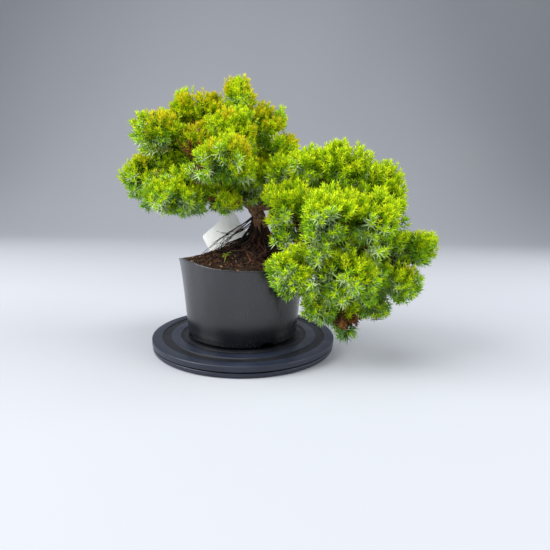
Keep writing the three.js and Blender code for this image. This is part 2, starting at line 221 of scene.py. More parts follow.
def rounded(profile, radius, steps=4):
    """The profile with each inner corner replaced by a small arc."""
    points = [np.asarray(p, float) for p in profile]
    out = [points[0]]
    for before, corner, after in zip(points, points[1:], points[2:]):
        back, on = before - corner, after - corner
        reach = min(radius, np.linalg.norm(back) / 2, np.linalg.norm(on) / 2)
        start = corner + back / max(np.linalg.norm(back), 1e-9) * reach
        end = corner + on / max(np.linalg.norm(on), 1e-9) * reach
        for t in np.linspace(0, 1, steps):
            out.append((1 - t) ** 2 * start + 2 * t * (1 - t) * corner + t**2 * end)
    out.append(points[-1])
    return np.array(out)


def tube_rings(line, radii, around, reference):
    """Rings of points round lines of equal length: line is (tubes, steps, 3)."""
    slope = unit(np.gradient(line, axis=-2))
    first, second = square_frame(slope, np.broadcast_to(reference[..., None, :], line.shape))
    angle = np.arange(around) * TURN / around
    spoke = first[..., None, :] * np.cos(angle)[:, None] + second[..., None, :] * np.sin(angle)[:, None]
    return line[..., None, :] + spoke * radii[..., None, None]


def tube_faces(tubes, steps, around):
    """The faces of that many separate tubes."""
    one = grid_faces(steps, around)
    start = np.arange(tubes)[:, None, None] * steps * around
    return (one + start).reshape(-1, 4)


# --- colours and materials -----------------------------------------------------------------------


def linear(colour):
    """A hex colour such as #A1B2C3 as linear red, green, blue and alpha."""
    parts = [int(colour[i : i + 2], 16) / 255 for i in (1, 3, 5)]
    return (*(p / 12.92 if p <= 0.04045 else ((p + 0.055) / 1.055) ** 2.4 for p in parts), 1.0)


def add_node(tree, kind, inputs=None, **settings):
    """Adds a node, sets its options, and fills or links its inputs."""
    node = tree.nodes.new(kind)
    for key, value in settings.items():
        setattr(node, key, value)
    for key, value in (inputs or {}).items():
        if isinstance(value, bpy.types.NodeSocket):
            tree.links.new(value, node.inputs[key])
        else:
            node.inputs[key].default_value = value
    return node


def start_material(name, **shader):
    """A material with one Principled shader, and its tree and shader."""
    material = bpy.data.materials.new(name)
    material.use_nodes = True
    tree = material.node_tree
    principled = next(node for node in tree.nodes if node.type == "BSDF_PRINCIPLED")
    for key, value in shader.items():
        principled.inputs[key.replace("_", " ").title().replace("Ior", "IOR")].default_value = value
    return material, tree, principled


def blend_colours(tree, factor, low, high):
    """A colour between two, by a factor from another node."""
    mix = add_node(tree, "ShaderNodeMix", {"Factor": factor}, data_type="RGBA")
    for key, value in (("A", low), ("B", high)):
        socket = next(s for s in mix.inputs if s.name == key and s.type == "RGBA")
        if isinstance(value, bpy.types.NodeSocket):
            tree.links.new(value, socket)
        else:
            socket.default_value = value
    return next(s for s in mix.outputs if s.type == "RGBA")


def stretch(tree, value, low, high, to_low=0.0, to_high=1.0):
    """Maps a value from one range to another, and holds it there."""
    inputs = {"Value": value, "From Min": low, "From Max": high, "To Min": to_low, "To Max": to_high}
    return add_node(tree, "ShaderNodeMapRange", inputs, interpolation_type="SMOOTHSTEP").outputs["Result"]


def grain(tree, size_mm, detail=3.0, squeeze=(1, 1, 1)):
    """Noise whose features are about size_mm across."""
    place = add_node(tree, "ShaderNodeTexCoord").outputs["Object"]
    squeezed = add_node(tree, "ShaderNodeMapping", {"Vector": place, "Scale": squeeze}).outputs["Vector"]
    inputs = {"Vector": squeezed, "Scale": 1 / (size_mm * MM), "Detail": detail}
    return add_node(tree, "ShaderNodeTexNoise", inputs).outputs["Fac"]


def raise_bump(tree, principled, height, depth_mm, strength=1.0):
    """Gives the shader a relief of that depth."""
    inputs = {"Height": height, "Distance": depth_mm * MM, "Strength": strength}
    bump = add_node(tree, "ShaderNodeBump", inputs)
    tree.links.new(bump.outputs["Normal"], principled.inputs["Normal"])


def turned_abs(name, colour, smudged, sheen_low, sheen_high):
    """ABS, moulded and then turned: a navy satin with faint rings, smudges and settled dust."""
    material, tree, principled = start_material(name, ior=1.5)
    speck = stretch(tree, grain(tree, 1.2, 2.0), 0.7, 0.76, 0.0, 0.6)
    smudge = stretch(tree, grain(tree, 30, 4.0), 0.4, 0.75)
    body = blend_colours(tree, smudge, linear(colour), linear(smudged))
    tree.links.new(blend_colours(tree, speck, body, linear("#9A968F")), principled.inputs["Base Color"])
    tree.links.new(stretch(tree, smudge, 0.0, 1.0, sheen_low, sheen_high), principled.inputs["Roughness"])
    # Real turning lines are too fine to show, so these lie 1.2 mm apart. The ring wave's own bands lie
    # 1/20 of a unit apart before it is scaled.
    place = add_node(tree, "ShaderNodeTexCoord").outputs["Object"]
    inputs = {"Vector": place, "Scale": 1 / (20 * 1.2 * MM), "Distortion": 0.2, "Detail": 1.0}
    lines = add_node(tree, "ShaderNodeTexWave", inputs, wave_type="RINGS", rings_direction="Z").outputs["Fac"]
    raise_bump(tree, principled, lines, 0.02, 0.4)
    return material


def moulded_polypropylene(colour, foot):
    """Polypropylene, injection moulded: near-black satin that mirrors softly, scuffed, dusty at its foot."""
    material, tree, principled = start_material("moulded_polypropylene", ior=1.5)
    principled.inputs["Specular IOR Level"].default_value = 0.75
    place = add_node(tree, "ShaderNodeTexCoord").outputs["Object"]
    height = add_node(tree, "ShaderNodeSeparateXYZ", {"Vector": place}).outputs["Z"]
    settled = stretch(tree, height, foot, foot + 16 * MM, 1.0, 0.12)
    speck = stretch(tree, grain(tree, 1.3, 2.0), 0.63, 0.74)
    dust = add_node(tree, "ShaderNodeMath", {0: settled, 1: speck}, operation="MULTIPLY").outputs[0]
    flow = grain(tree, 26, 3.0, (1, 1, 0.3))
    upper = blend_colours(tree, stretch(tree, flow, 0.35, 0.7), linear(colour), linear("#2B2C30"))
    # Painted reflection: the wall is painted near black up to 8 mm above its foot, as if it mirrored the dark
    # turntable, and lightens to its own tone by 36 mm above it.
    rise = stretch(tree, height, foot + 8 * MM, foot + 36 * MM)
    body = blend_colours(tree, rise, linear("#121419"), upper)
    tree.links.new(blend_colours(tree, dust, body, linear("#66615A")), principled.inputs["Base Color"])
    scuff = stretch(tree, grain(tree, 2.2, 4.0, (1, 1, 0.12)), 0.6, 0.8, 0.0, 0.16)
    rough = stretch(tree, flow, 0.3, 0.7, 0.2, 0.28)
    worn = add_node(tree, "ShaderNodeMath", {0: rough, 1: scuff}, operation="ADD").outputs[0]
    tree.links.new(worn, principled.inputs["Roughness"])
    # the mould's own grain is too fine to show, so this one is 1.1 mm across
    raise_bump(tree, principled, grain(tree, 1.1, 2.0), 0.02, 0.35)
    return material


def polystyrene_sheet(colour):
    """Polystyrene, rolled and die-cut: off-white and faintly glossy, soiled where it has stood in earth."""
    material, tree, principled = start_material("polystyrene_sheet", roughness=0.45, ior=1.55)
    stain = stretch(tree, grain(tree, 6, 4.0), 0.5, 0.75, 0.0, 0.12)
    body = blend_colours(tree, stain, linear(colour), linear("#A79E8C"))
    tree.links.new(body, principled.inputs["Base Color"])
    raise_bump(tree, principled, grain(tree, 1.5, 2.0), 0.03, 0.4)
    return material


def peat_compost(dark, light):
    """Peat and composted bark, riddled: matt, nearly black where damp, with brown fibres and chips."""
    material, tree, principled = start_material("peat_compost", roughness=0.95, ior=1.4)
    patch = stretch(tree, grain(tree, 7, 4.0), 0.38, 0.68)
    fleck = stretch(tree, grain(tree, 0.9, 3.0), 0.52, 0.68)
    body = blend_colours(tree, patch, linear(dark), linear("#302014"))
    tree.links.new(blend_colours(tree, fleck, body, linear(light)), principled.inputs["Base Color"])
    raise_bump(tree, principled, grain(tree, 0.7, 4.0), 0.5, 0.9)
    return material


def bark_chip(name, colour, dry_colour):
    """Bark chips and fibre, milled: matt brown, paler where they have dried."""
    material, tree, principled = start_material(name, roughness=0.9, ior=1.4)
    dry = stretch(tree, grain(tree, 1.2, 3.0), 0.4, 0.65)
    body = blend_colours(tree, dry, linear(colour), linear(dry_colour))
    tree.links.new(body, principled.inputs["Base Color"])
    raise_bump(tree, principled, grain(tree, 0.5, 2.0), 0.2, 0.6)
    return material


def juniper_bark(name, furrow_colour, plate_colour, edge_colour):
    """Juniper bark, grown and peeling: thin grey-brown strips over red-brown furrows, quite matt."""
    material, tree, principled = start_material(name, roughness=0.86, ior=1.45)
    relief = add_node(tree, "ShaderNodeAttribute", attribute_name="relief").outputs["Fac"]
    patch = stretch(tree, grain(tree, 3.2, 4.0), 0.35, 0.7)
    plate = blend_colours(tree, patch, linear(plate_colour), linear(edge_colour))
    shown = stretch(tree, relief, 0.15, 0.75)
    tree.links.new(blend_colours(tree, shown, linear(furrow_colour), plate), principled.inputs["Base Color"])
    raise_bump(tree, principled, grain(tree, 0.6, 3.0), 0.2, 0.7)
    return material


def living_leaf(name, colour, roughness=0.5):
    """Living needle or stem, grown: waxy, with a soft shine over one even colour."""
    material, _, principled = start_material(name, roughness=roughness, ior=1.4)
    principled.inputs["Base Color"].default_value = linear(colour)
    principled.inputs["Specular IOR Level"].default_value = 0.2
    return material


def painted_room(name, colour, worn):
    """Emulsion on plaster: an even matt tone that hardly varies."""
    material, tree, principled = start_material(name, roughness=0.8)
    tone = stretch(tree, grain(tree, 900, 1.0), 0.2, 0.8)
    tree.links.new(blend_colours(tree, tone, linear(colour), linear(worn)), principled.inputs["Base Color"])
    return material


# --- settings ------------------------------------------------------------------------------------


def length_setting(name, description, default_mm):
    """A length property, in metres, whose default is given in millimetres."""
    return bpy.props.FloatProperty(
        name=name, description=description, default=default_mm * MM, unit="LENGTH", precision=5
    )


def colour_setting(name, description, default):
    """A hex colour property."""
    return bpy.props.StringProperty(name=name, description=description, default=default)


class StandSettings(bpy.types.PropertyGroup):
    """What may be changed on the turntable"""

    body: colour_setting("Body", "Colour of the turntable's plastic", "#1C2231")
    # The pressed rings' darker colour is painted shade; the body's plastic is the same.
    pressed: colour_setting("Pressed rings", "Colour in the rings pressed into the top disc", "#070B13")
    edge: length_setting("Edge radius", "Rounding of the discs' edges", 0.9)
    step: length_setting("Ring depth", "How deep the rings are pressed into the top disc", 0.9)


class PotSettings(bpy.types.PropertyGroup):
    """What may be changed on the nursery pot"""

    body: colour_setting("Body", "Colour of the pot's plastic", "#1C1D20")
    wall: length_setting("Wall", "Thickness of the pot's wall", 1.6)
    chamfer: length_setting("Chamfer", "Rounding where the wall meets the floor", 2.4)
    notch: length_setting("Notch width", "Width of each drainage notch at the foot", 14)
    notch_height: length_setting("Notch height", "Height of each drainage notch", 5.0)


class CompostSettings(bpy.types.PropertyGroup):
    """What may be changed in the compost"""

    dark: colour_setting("Damp", "Colour of damp compost", "#140D07")
    light: colour_setting("Chips", "Colour of the bark chips and fibres in it", "#664526")
    crumbs: bpy.props.IntProperty(name="Crumbs", description="Number of loose crumbs", default=4200, min=0)
    crumb: length_setting("Crumb size", "Radius of a large crumb", 1.5)


class WoodSettings(bpy.types.PropertyGroup):
    """What may be changed on the trunk, boughs and roots"""

    relief: length_setting("Bark relief", "Depth of the furrows on the trunk", 0.75)
    strip: length_setting("Strip width", "Width of a strip of bark", 2.6)
    bare_roots: bpy.props.FloatProperty(
        name="Bare roots", description="How many roots have washed bare, against the usual", default=1, min=0
    )


class FoliageSettings(bpy.types.PropertyGroup):
    """What may be changed in how the twigs and needles grow"""

    seed: bpy.props.IntProperty(name="Seed", description="Chooses one plant of many", default=7)
    spacing: length_setting("Spray spacing", "Distance between the tips of neighbouring sprays", 9.8)
    spray: length_setting("Spray length", "Length of a spray from its foot to its tip", 31)
    inner: bpy.props.FloatProperty(
        name="Inner sprays", description="Share of shaded sprays inside the masses", default=0.5, min=0, max=1
    )
    upturn: bpy.props.FloatProperty(
        name="Upturn", description="How strongly sprays turn up", default=0.85, min=0, max=3
    )
    side_shoots: bpy.props.IntProperty(
        name="Side shoots", description="Side shoots on each spray", default=7, min=1
    )
    needle: length_setting("Needle length", "Length of a full-grown needle", 8.8)
    needle_width: length_setting("Needle width", "Width of a needle at its foot", 1.6)


class StageSettings(bpy.types.PropertyGroup):
    """What may be changed on the camera"""

    camera: bpy.props.FloatVectorProperty(
        name="Camera", description="Place of the camera", default=(0.0334, -0.4478, 0.1591), unit="LENGTH"
    )
    pitch: bpy.props.FloatProperty(
        name="Pitch", description="How far it looks down", default=math.radians(10.29), unit="ROTATION"
    )
    roll: bpy.props.FloatProperty(
        name="Roll", description="How far it leans", default=math.radians(1.15), unit="ROTATION"
    )
    lens: bpy.props.FloatProperty(name="Lens", description="Focal length in millimetres", default=27.03)


# --- turntable -----------------------------------------------------------------------------------

SECTORS = 288


class JUNIPER_OT_stand(bpy.types.Operator):
    """Turn the two discs of the turntable"""

    bl_idname = "juniper.stand"
    bl_label = "Turntable"

    hub_share = 0.3  # the hub that the top turns on, against the base's radius
    hub_rise = 0.8 * MM
    bevel = 1.4 * MM
    ring_shares = (0.895, 0.795, 0.693, 0.63)  # the pressed rings' edges, against the top's radius
    flat_share = 0.91  # all the pressed rings lie within this share
    lip = 0.6 * MM
    bead_rise = 0.4 * MM
    bead_edges = (2 * MM, 2.4 * MM)  # how far in from the rings the bead's top and its foot end

    def execute(self, context):
        settings = context.scene.juniper_stand
        raised = turned_abs("turned_abs", settings.body, "#242B3B", 0.36, 0.5)
        # The pressed rings get a rougher copy that is painted darker: painted shade in the grooves.
        pressed = turned_abs("turned_abs_pressed_painted_shade", settings.pressed, "#0B0F18", 0.5, 0.62)
        self.make_base(settings, [raised])
        self.make_top(settings, [raised, pressed])
        return {"FINISHED"}

    def make_base(self, settings, materials):
        """The base: a bevelled disc with a low hub."""
        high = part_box("stand_base")[1]
        radius, hub, disc = high.x, self.hub_share * high.x, high.z - self.hub_rise
        profile = [
            (PINHOLE, 0), (radius - self.bevel, 0), (radius, self.bevel), (radius, disc), (hub, disc),
            (hub, high.z), (PINHOLE, high.z),
        ]
        self.turn("turntable_base", rounded(profile, settings.edge), "stand_base", materials)

    def make_top(self, settings, materials):
        """The top: a disc with two pressed rings and a bead round the middle."""
        low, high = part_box("stand_top")
        radius, top = high.x, high.z
        pressed = top - settings.step
        bead = pressed + self.bead_rise
        outer, middle, inner, seat = (share * radius for share in self.ring_shares)
        above, below = (seat - edge for edge in self.bead_edges)
        profile = [
            (PINHOLE, low.z), (radius, low.z), (radius, top), (outer, top), (outer - self.lip, pressed),
            (middle + self.lip, pressed), (middle, top), (inner, top), (inner - self.lip, pressed),
            (seat + self.lip, pressed), (seat, bead), (above, bead), (below, pressed), (PINHOLE, pressed),
        ]
        # Faces on the rings' floor below this height get the darker colour, which is painted shade.
        painted_shade_under = top - 0.3 * settings.step
        self.turn("turntable_top", rounded(profile, settings.edge), "stand_top", materials, painted_shade_under)

    def turn(self, name, profile, node, materials, painted_shade_under=None):
        """A closed turned piece. Faces just under the height given last get the second material, whose darker
        colour is painted shade in the pressed rings.
        """
        corners = turned(profile, SECTORS)
        faces = grid_faces(len(corners), SECTORS)
        middle = corners.reshape(-1, 3)[faces].mean(axis=1)
        dealt = np.zeros(len(faces), int)
        if painted_shade_under is not None:
            within = np.hypot(middle[:, 0], middle[:, 1]) < self.flat_share * corners.max()
            dealt[within & (middle[:, 2] < painted_shade_under) & (middle[:, 2] > painted_shade_under - 1 * MM)] = 1
        piece = new_piece(name, corners.reshape(-1, 3), faces, materials, dealt)
        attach(piece, "root")
        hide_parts(node)


# --- pot, compost and label ----------------------------------------------------------------------


def pot_centre():
    """The middle of the pot's foot."""
    corners = corners_of("pot")
    foot = corners[corners[:, 2] < corners[:, 2].min() + NEAR, :2]
    return (foot.min(axis=0) + foot.max(axis=0)) / 2


LOWEST_RIM = 0.85  # every corner of the sawn rim is over this share of the highest


def rim_outline(angles):
    """Height and outer radius of the pot's sawn rim in each direction from its middle."""
    corners = corners_of("pot")
    out = corners[:, :2] - pot_centre()
    rim = corners[:, 2] > LOWEST_RIM * corners[:, 2].max()
    angle, radius, height = np.arctan2(out[rim, 1], out[rim, 0]), np.hypot(*out[rim].T), corners[rim, 2]
    sector, place = np.unique(np.round(angle, 2), return_inverse=True)
    outer = np.zeros(len(sector))
    np.maximum.at(outer, place, radius)
    top = np.zeros(len(sector))
    np.maximum.at(top, place, height)
    return tuple(smoothed(np.interp(angles, sector, values, period=TURN)) for values in (top, outer))


def smoothed(values, reach=7):
    """Values round a circle, each smoothed with its neighbours on both sides."""
    window = np.hanning(2 * reach + 1)
    padded = np.concatenate([values[-reach:], values, values[:reach]])
    return np.convolve(padded, window / window.sum(), "valid")


class JUNIPER_OT_pot(bpy.types.Operator):
    """Mould the nursery pot, with its sawn rim and drainage notches"""

    bl_idname = "juniper.pot"
    bl_label = "Pot"

    notches = 4
    first_notch = 1.66 * math.pi
    wall_rings = 26
    floor_rise = 1 * MM
    standing_step = (6 * MM, 5 * MM)  # the step down to the ring it stands on, in from the foot's edge
    notch_reach = 5.5 * MM
    edge = 0.45 * MM
    saw_waves = 9  # cells of noise to the radius, so about 56 round the sawn rim
    saw_depth = 0.3 * MM
    soft_waves = 1.6  # and about 10 round the soft wall
    soft_depth = 0.5 * MM

    def execute(self, context):
        settings = context.scene.juniper_pot
        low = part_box("pot")[0]
        rim_z, rim_radius = rim_outline(np.arange(SECTORS) * TURN / SECTORS)
        wall_foot, front = low.z + settings.chamfer, rim_z.min()
        corners = corners_of("pot")
        near_foot = corners[corners[:, 2] < wall_foot + NEAR, :2] - pot_centre()
        foot, top = np.hypot(*near_foot.T).max(), rim_radius.min()
        outside = np.linspace((foot, wall_foot), (top, front), self.wall_rings)
        inside = outside[::-1] - (settings.wall, 0)
        underside, floor = low.z + self.floor_rise, low.z + settings.wall + self.floor_rise
        inner, outer = (foot - reach for reach in self.standing_step)
        profile = [
            (PINHOLE, underside), (inner, underside), (outer, low.z), (foot - settings.chamfer, low.z),
            *outside, *inside, (inner, floor), (PINHOLE, floor),
        ]
        rings = turned(rounded(profile, self.edge, 3), SECTORS)
        self.saw_rim(rings, rim_z, rim_radius, wall_foot, front)
        self.cut_notches(rings, settings, foot, low.z)
        rings[..., :2] += pot_centre()
        plastic = moulded_polypropylene(settings.body, low.z)
        piece = new_piece("nursery_pot", rings.reshape(-1, 3), grid_faces(len(rings), SECTORS), [plastic])
        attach(piece, "root")
        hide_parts("pot")
        return {"FINISHED"}

    def saw_rim(self, rings, rim_z, rim_radius, wall_foot, front):
        """Lifts the wall to the rim's line and flare, with the small waves of a hand cut and a soft wall."""
        angle = np.arange(SECTORS) * TURN / SECTORS
        ring = np.stack([np.cos(angle), np.sin(angle)], axis=-1)
        around = np.append(ring * self.saw_waves, np.zeros((SECTORS, 1)), axis=1)
        share = ((rings[..., 2] - wall_foot) / (front - wall_foot)).clip(0, 1.05)
        flare = (rim_radius - rim_radius.min()) * share**4
        wide = np.broadcast_to(ring * self.soft_waves, (*share.shape, 2))
        dent = smooth_noise(np.concatenate([wide, share[..., None] * 2], axis=-1), 6)
        flare = flare + dent * self.soft_depth * share
        radius = np.linalg.norm(rings[..., :2], axis=-1).clip(1 * MM)
        rings[..., :2] *= (1 + flare / radius)[..., None]
        rings[..., 2] += share * (rim_z - front + smooth_noise(around, 3) * self.saw_depth)

    def cut_notches(self, rings, settings, foot, low):
        """Raises the foot's edge over each drainage notch."""
        angle = np.arange(SECTORS) * TURN / SECTORS
        radius = np.linalg.norm(rings[..., :2], axis=-1)
        for i in range(self.notches):
            middle = self.first_notch + i * TURN / self.notches
            away = np.abs((angle - middle + math.pi) % TURN - math.pi) * foot
            # a high power makes an arch with steep sides and a nearly flat top
            arch = (1 - (away / (settings.notch / 2)) ** 8).clip(0, 1) * settings.notch_height
            floor = low + np.broadcast_to(arch, rings.shape[:2])
            edge = (rings[..., 2] < floor) & (radius > foot - self.notch_reach)
            rings[..., 2] = np.where(edge, floor, rings[..., 2])


def ground_heights(points):
    """Height of the compost's top under or over each point of a plan."""
    tree = BVHTree.FromPolygons(
        [Vector(p) for p in corners_of("soil")], triangles_of("soil").tolist(), all_triangles=True
    )
    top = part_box("soil")[1].z + 5 * MM
    heights = np.empty(len(points))
    for i, (x, y) in enumerate(points):
        hit = tree.ray_cast(Vector((x, y, top)), Vector((0, 0, -1)))[0]
        heights[i] = hit.z if hit else np.nan
    return heights


class Ground:
    """The compost's top as a smooth polar field, for all that lies on it, washed out under the trunk."""

    rings, sectors = 64, 192
    clearance = 0.8 * MM  # between the compost and the pot's wall
    hollow, hollow_width = 11 * MM, 20 * MM
    smoothings = 14

    def __init__(self):
        self.centre = pot_centre()
        low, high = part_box("soil")
        self.radius = (high.x - low.x) / 2 - self.clearance
        # the first ring is small but not a point, and the last is at the edge
        self.r = (np.arange(self.rings) + 0.35) / (self.rings - 0.65) * self.radius
        self.angle = np.arange(self.sectors) * TURN / self.sectors
        plan = self.plan(self.r[:, None], self.angle[None, :])
        z = ground_heights(plan.reshape(-1, 2)).reshape(self.rings, self.sectors)
        ring_mean = np.nanmean(z, axis=1, keepdims=True)
        z = np.where(np.isnan(z), ring_mean, z)
        for _ in range(self.smoothings):
            wide = (np.roll(z, 1, 1) + np.roll(z, -1, 1) + 2 * z) / 4
            inner = np.vstack([wide[:1], wide[:-1]])
            outer = np.vstack([wide[1:], wide[-1:]])
            z = (inner + outer + 2 * wide) / 4
        away = np.linalg.norm(plan - corners_of("trunk").mean(axis=0)[:2], axis=-1)
        self.z = z - self.hollow * np.exp(-((away / self.hollow_width) ** 2))

    def plan(self, r, angle):
        """Points of the plan from distances and directions."""
        x = self.centre[0] + r * np.cos(angle)
        y = self.centre[1] + r * np.sin(angle)
        return np.stack(np.broadcast_arrays(x, y), axis=-1)

    def height(self, xy):
        """Height of the ground at points of the plan."""
        out = xy - self.centre
        r = np.linalg.norm(out, axis=-1)
        row = np.interp(r, self.r, np.arange(self.rings))
        column = (np.arctan2(out[..., 1], out[..., 0]) % TURN) / TURN * self.sectors
        i, j = np.floor(row).astype(int), np.floor(column).astype(int) % self.sectors
        u, v = row - i, column - np.floor(column)
        i2, j2 = np.minimum(i + 1, self.rings - 1), (j + 1) % self.sectors
        near = self.z[i, j] * (1 - v) + self.z[i, j2] * v
        far = self.z[i2, j] * (1 - v) + self.z[i2, j2] * v
        return near * (1 - u) + far * u


class JUNIPER_OT_compost(bpy.types.Operator):
    """Fill the pot with compost and strew crumbs on it"""

    bl_idname = "juniper.compost"
    bl_label = "Compost"

    bed_rings, bed_sectors = 120, 360
    lumps = ((5.5, 0.9), (2.1, 0.8), (0.9, 0.4))  # each size of lump, and how high it stands, in mm
    side_foot = 40 * MM  # how far above the soil's underside the bed's plain side ends
    side_share = 0.93  # the side's radius at its foot, against its top
    seedling_place = np.array([-17 * MM, -41 * MM])
    seedling_crown = np.array([1.5, -1, 8]) * MM  # from its root
    leaves = (  # the direction of each, how steeply it rises and its length in millimetres
        (0.3, 0.5, 6.5),
        (2.7, 0.3, 5.0),
        (4.2, 0.1, 6.0),
        (5.4, 0.6, 5.0),
        (1.4, 0.9, 4.0),
    )

    def execute(self, context):
        settings = context.scene.juniper_compost
        rng = np.random.default_rng(11)
        ground = Ground()
        peat = peat_compost(settings.dark, settings.light)
        piece = self.make_bed(ground, peat)
        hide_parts("soil")
        chip = bark_chip("bark_chip", settings.light, "#8E6A4C")
        fibre = bark_chip("dry_fibre", "#8F7650", "#C4AE86")
        self.strew_crumbs(ground, settings, [peat, chip, fibre], rng)
        self.plant_seedling(ground)
        return {"FINISHED"}

    def make_bed(self, ground, peat):
        """The bed: a rough top, and a plain side that ends out of sight in the pot."""
        rings, sectors = self.bed_rings, self.bed_sectors
        r = (np.arange(rings) + 0.2) / (rings - 0.8) * ground.radius
        angle = np.arange(sectors) * TURN / sectors
        plan = ground.plan(r[:, None], angle[None, :])
        z = ground.height(plan)
        at = np.concatenate([plan, z[..., None]], axis=-1) / MM
        for size_mm, depth_mm in self.lumps:
            z += smooth_noise(at / size_mm, 1) * depth_mm * MM
        top = np.concatenate([plan, z[..., None]], axis=-1)
        side = top[-1:].copy()
        side[..., 2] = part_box("soil")[0].z + self.side_foot
        side[..., :2] = ground.centre + (side[..., :2] - ground.centre) * self.side_share
        corners = np.concatenate([top, side])
        faces = grid_faces(rings + 1, sectors)[:, ::-1]
        piece = new_piece("compost_bed", corners.reshape(-1, 3), faces, [peat])
        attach(piece, "root")
        return piece

    def strew_crumbs(self, ground, settings, materials, rng):
        """Loose crumbs, each a lump with its own faces."""
        lump = bmesh.new()
        bmesh.ops.create_icosphere(lump, subdivisions=1, radius=1)
        shape = np.array([v.co for v in lump.verts])
        faces = np.array([[v.index for v in f.verts] for f in lump.faces])
        lump.free()
        count = settings.crumbs
        r = np.sqrt(rng.random(count)) * (ground.radius - settings.crumb)
        plan = ground.plan(r, rng.random(count) * TURN)
        size = settings.crumb * (0.25 + 0.75 * rng.random(count) ** 3)
        place = np.concatenate([plan, (ground.height(plan) + 0.3 * MM)[:, None]], axis=1)
        squash = 0.55 + 0.6 * rng.random((count, 1, 3))
        dents = 1 + 0.35 * rng.standard_normal((count, len(shape), 1)).clip(-1.5, 1.5)
        corners = place[:, None] + shape * squash * dents * size[:, None, None]
        joined = (faces + np.arange(count)[:, None, None] * len(shape)).reshape(-1, 3)
        dealt = np.searchsorted((0.8, 0.94), rng.random(count)).repeat(len(faces))
        piece = new_piece("compost_crumbs", corners.reshape(-1, 3), joined, materials, dealt, smooth=False)
        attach(piece, "root")

    def plant_seedling(self, ground):
        """A weed seedling: folded leaves on a short stem."""
        height = ground.height(self.seedling_place[None])[0] + 0.5 * MM
        root = np.append(self.seedling_place, height)
        crown = root + self.seedling_crown
        corners = [self.leaf(crown - UP * i * 0.8 * MM, *leaf) for i, leaf in enumerate(self.leaves)]
        steps, around = 4, 4
        line = np.linspace(root, crown, steps)[None]
        stem = tube_rings(line, np.full((1, steps), 0.4 * MM), around, np.array([[1.0, 0.2, 0]]))
        blades = np.arange(4 * len(self.leaves)).reshape(-1, 4)
        faces = np.concatenate([blades, tube_faces(1, steps, around) + blades.size])
        yellowed = (np.arange(len(faces)) % 5 == 1).astype(int)
        materials = [living_leaf("seedling_green", "#7FB02A"), living_leaf("seedling_yellow", "#D8B64A")]
        points = np.concatenate([*corners, stem.reshape(-1, 3)])
        piece = new_piece("seedling", points, faces, materials, yellowed)
        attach(piece, "root")

    def leaf(self, base, turn, rise, long_mm):
        """The four corners of a leaf that leaves its base in the direction turn and nods at its tip."""
        out = np.array([math.cos(turn), math.sin(turn), rise]) * long_mm * MM
        across = np.array([-math.sin(turn), math.cos(turn), 0]) * long_mm * 0.24 * MM
        middle, tip = base + out / 2 + UP * 0.5 * MM, base + out - UP * long_mm * 0.25 * MM
        return np.array([base, middle - across, tip, middle + across])


class JUNIPER_OT_label(bpy.types.Operator):
    """Cut the blank nursery label and stand it in the compost"""

    bl_idname = "juniper.label"
    bl_label = "Label"

    def execute(self, context):
        cut = bmesh.new()
        cut.from_mesh(NODES["label"].data)
        bmesh.ops.remove_doubles(cut, verts=cut.verts, dist=0.01 * MM)
        bmesh.ops.dissolve_limit(cut, angle_limit=math.radians(1), verts=cut.verts, edges=cut.edges)
        edges = [e for e in cut.edges if e.is_manifold and e.calc_face_angle() > math.radians(60)]
        bmesh.ops.bevel(cut, geom=edges, offset=0.25 * MM, segments=2, affect="EDGES", profile=0.5)
        mesh = bpy.data.meshes.new("nursery_label")
        cut.to_mesh(mesh)
        cut.free()
        mesh.materials.append(polystyrene_sheet("#FCFCF8"))
        piece = bpy.data.objects.new("nursery_label", mesh)
        context.scene.collection.objects.link(piece)
        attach(piece, "root")
        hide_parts("label")
        return {"FINISHED"}


# --- wood ----------------------------------------------------------------------------------------


def run_along(line):
    """How far along a line each of its points lies."""
    return np.concatenate([[0], np.cumsum(np.linalg.norm(np.diff(line, axis=0), axis=1))])


RINGS_FACE = np.array([[0.31, -0.87, 0.38]])  # no limb follows this, so each ring can start from it
BARK_DRIFT = np.array([0.05, 0.03, 0.14])  # how slowly the bark's pattern changes along a limb


def barked_limb(line, radii, around, strip, relief, seed):
    """Rings of a limb with peeling bark, and how high each point stands in the relief."""
    rings = tube_rings(line[None], radii[None], around, RINGS_FACE)[0]
    spoke = unit(rings - line[:, None])
    at = spoke * radii[:, None, None] / strip
    at = at + line[:, None] * 0.25 / strip + run_along(line)[:, None, None] * BARK_DRIFT / strip
    split = furrow(smooth_noise(at, seed), 0.3)
    fine = furrow(smooth_noise(at * 2.3, seed + 1), 0.4)
    lump = smooth_noise(at / 4, seed + 2)
    height = (1 - 0.75 * split - 0.35 * fine).clip(0, 1)
    rise = relief * (height - 0.75) + radii[:, None] * 0.1 * lump
    return rings + spoke * rise[..., None], height


def joined_limbs(limbs):
    """One mesh's corners, faces and relief from many limbs with closed ends."""
    corners, faces, heights, start = [], [], [], 0
    for rings, height in limbs:
        rows, around = height.shape
        middles = rings[[0, -1]].mean(axis=1, keepdims=True)
        ends = middles + (rings[[0, -1]] - middles) * 0.02
        closed = np.concatenate([ends[:1], rings, ends[1:]])
        corners.append(closed.reshape(-1, 3))
        heights.append(np.concatenate([height[:1], height, height[-1:]]).ravel())
        faces.append(grid_faces(rows + 2, around)[:, ::-1] + start)
        start += closed.shape[0] * around
    return np.concatenate(corners), np.concatenate(faces), np.concatenate(heights)


def resampled(line, radii, step):
    """The same limb with a ring at each step."""
    run = run_along(line)
    at = np.linspace(0, run[-1], max(6, int(run[-1] / step)))
    moved = np.stack([np.interp(at, run, line[:, i]) for i in range(3)], axis=1)
    return moved, np.interp(at, run, radii)


def lengthened(line, radii, back, on):
    """The limb with its thick end carried back into its parent and its thin end carried on."""
    first = line[0] - unit(line[1] - line[0]) * back
    last = line[-1] + unit(line[-1] - line[-2]) * on
    return np.vstack([first, line, last]), np.concatenate([radii[:1], radii, radii[-1:]])


TRUNK_LEVELS = 24
TRUNK_SLICE = 4.2 * MM  # corners this near a level belong to it


